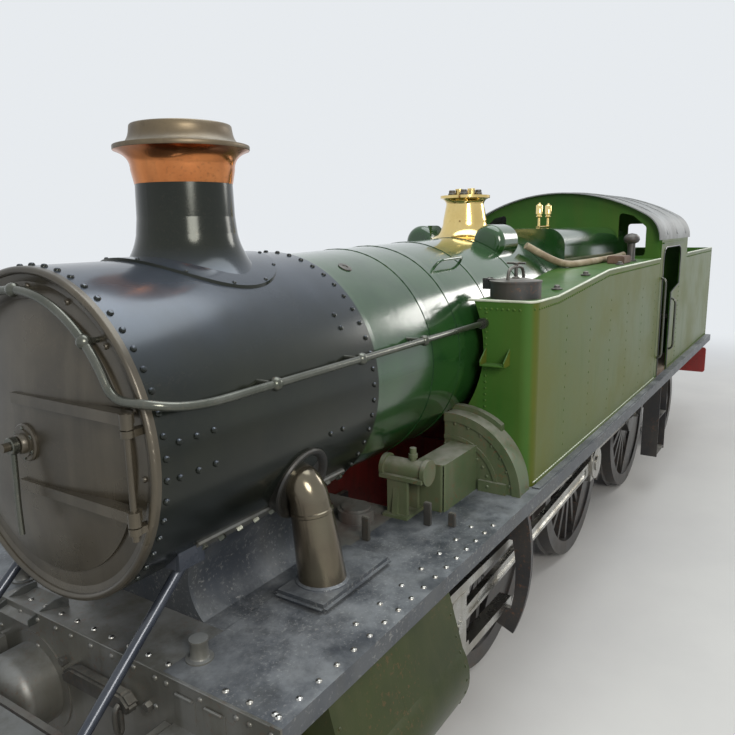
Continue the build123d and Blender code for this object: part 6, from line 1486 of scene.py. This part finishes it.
floor_mesh = bpy.data.meshes.new("studio_floor")
floor_shape = bmesh.new()
bmesh.ops.create_grid(floor_shape, x_segments=FLOOR_GRID, y_segments=FLOOR_GRID, size=FLOOR_HALF)
floor_shape.to_mesh(floor_mesh)
floor_shape.free()
floor = bpy.data.objects.new("studio_floor", floor_mesh)
bpy.context.scene.collection.objects.link(floor)
floor_look = bpy.data.materials.new("studio_floor")
floor_look.use_nodes = True
tree = floor_look.node_tree
floor_shader = tree.nodes["Principled BSDF"]
mottled = use_effect(tree, blotch_effect, Blotch_size=0.4)
feed(tree, blend_tones(tree, mottled, *FLOOR_TONES), floor_shader.inputs["Base Color"])
floor_shader.inputs["Roughness"].default_value = FLOOR_ROUGH
far_glow = tree.nodes.new("ShaderNodeEmission")
far_glow.inputs["Color"].default_value = BACKGROUND
reach = tree.nodes.new("ShaderNodeVectorMath")
reach.operation = "LENGTH"
feed(tree, place_on(tree), reach.inputs[0])
far = between(tree, reach.outputs["Value"], *FADE)
mix_out(tree, sums(tree, "MULTIPLY", far, seen_straight(tree)), floor_shader, far_glow,
        "Material Output")
floor_mesh.materials.append(floor_look)
print("floor side:", FLOOR_HALF * 2)

# %% [markdown]
# Three soft lamps light the engine: a broad cool one above, a warm one from the front left and
# a weaker one behind.

# %% World and lamps
FILL = (0.86, 0.92, 1.0, 1.0)
FILL_STRENGTH = 0.42
LAMPS = (
    ("overhead_softbox", (1.0, 1.0, 11.0), (0.0, 0.0, 1.5), 9.0, 620.0, (0.93, 0.97, 1.0)),
    ("front_left_softbox", (9.0, 8.5, 6.5), (1.5, 0.6, 1.8), 4.5, 640.0, (1.0, 0.96, 0.90)),
    ("rear_softbox", (-11.0, 6.0, 7.0), (-2.0, 0.0, 2.0), 5.0, 420.0, (1.0, 0.97, 0.93)),
)
world = bpy.data.worlds.new("studio")
bpy.context.scene.world = world
world.use_nodes = True
tree = world.node_tree
seen_sky = tree.nodes["Background"]
fill_sky = tree.nodes.new("ShaderNodeBackground")
for sky, colour, strength in ((seen_sky, BACKGROUND, 1.0), (fill_sky, FILL, FILL_STRENGTH)):
    sky.inputs["Color"].default_value = colour
    sky.inputs["Strength"].default_value = strength
mix_out(tree, seen_straight(tree), fill_sky, seen_sky, "World Output")

for name, place, aim, wide, watts, tint in LAMPS:
    lamp = bpy.data.lights.new(name, "AREA")
    lamp.shape = "DISK"
    lamp.size = wide
    lamp.energy = watts
    lamp.color = tint
    holder = bpy.data.objects.new(name, lamp)
    bpy.context.scene.collection.objects.link(holder)
    holder.location = place
    holder.rotation_mode = "QUATERNION"
    holder.rotation_quaternion = (Vector(aim) - Vector(place)).to_track_quat("-Z", "Y")
    print("lamp", name, "at", place)

# %% [markdown]
# The view is shown without a film curve, so that a colour comes out as it was written.
# The dressed engine is wider than the bare solids only by the heads of the screws on the
# cylinders' cladding.

# %% Finish
bpy.context.scene.view_settings.view_transform = "Standard"
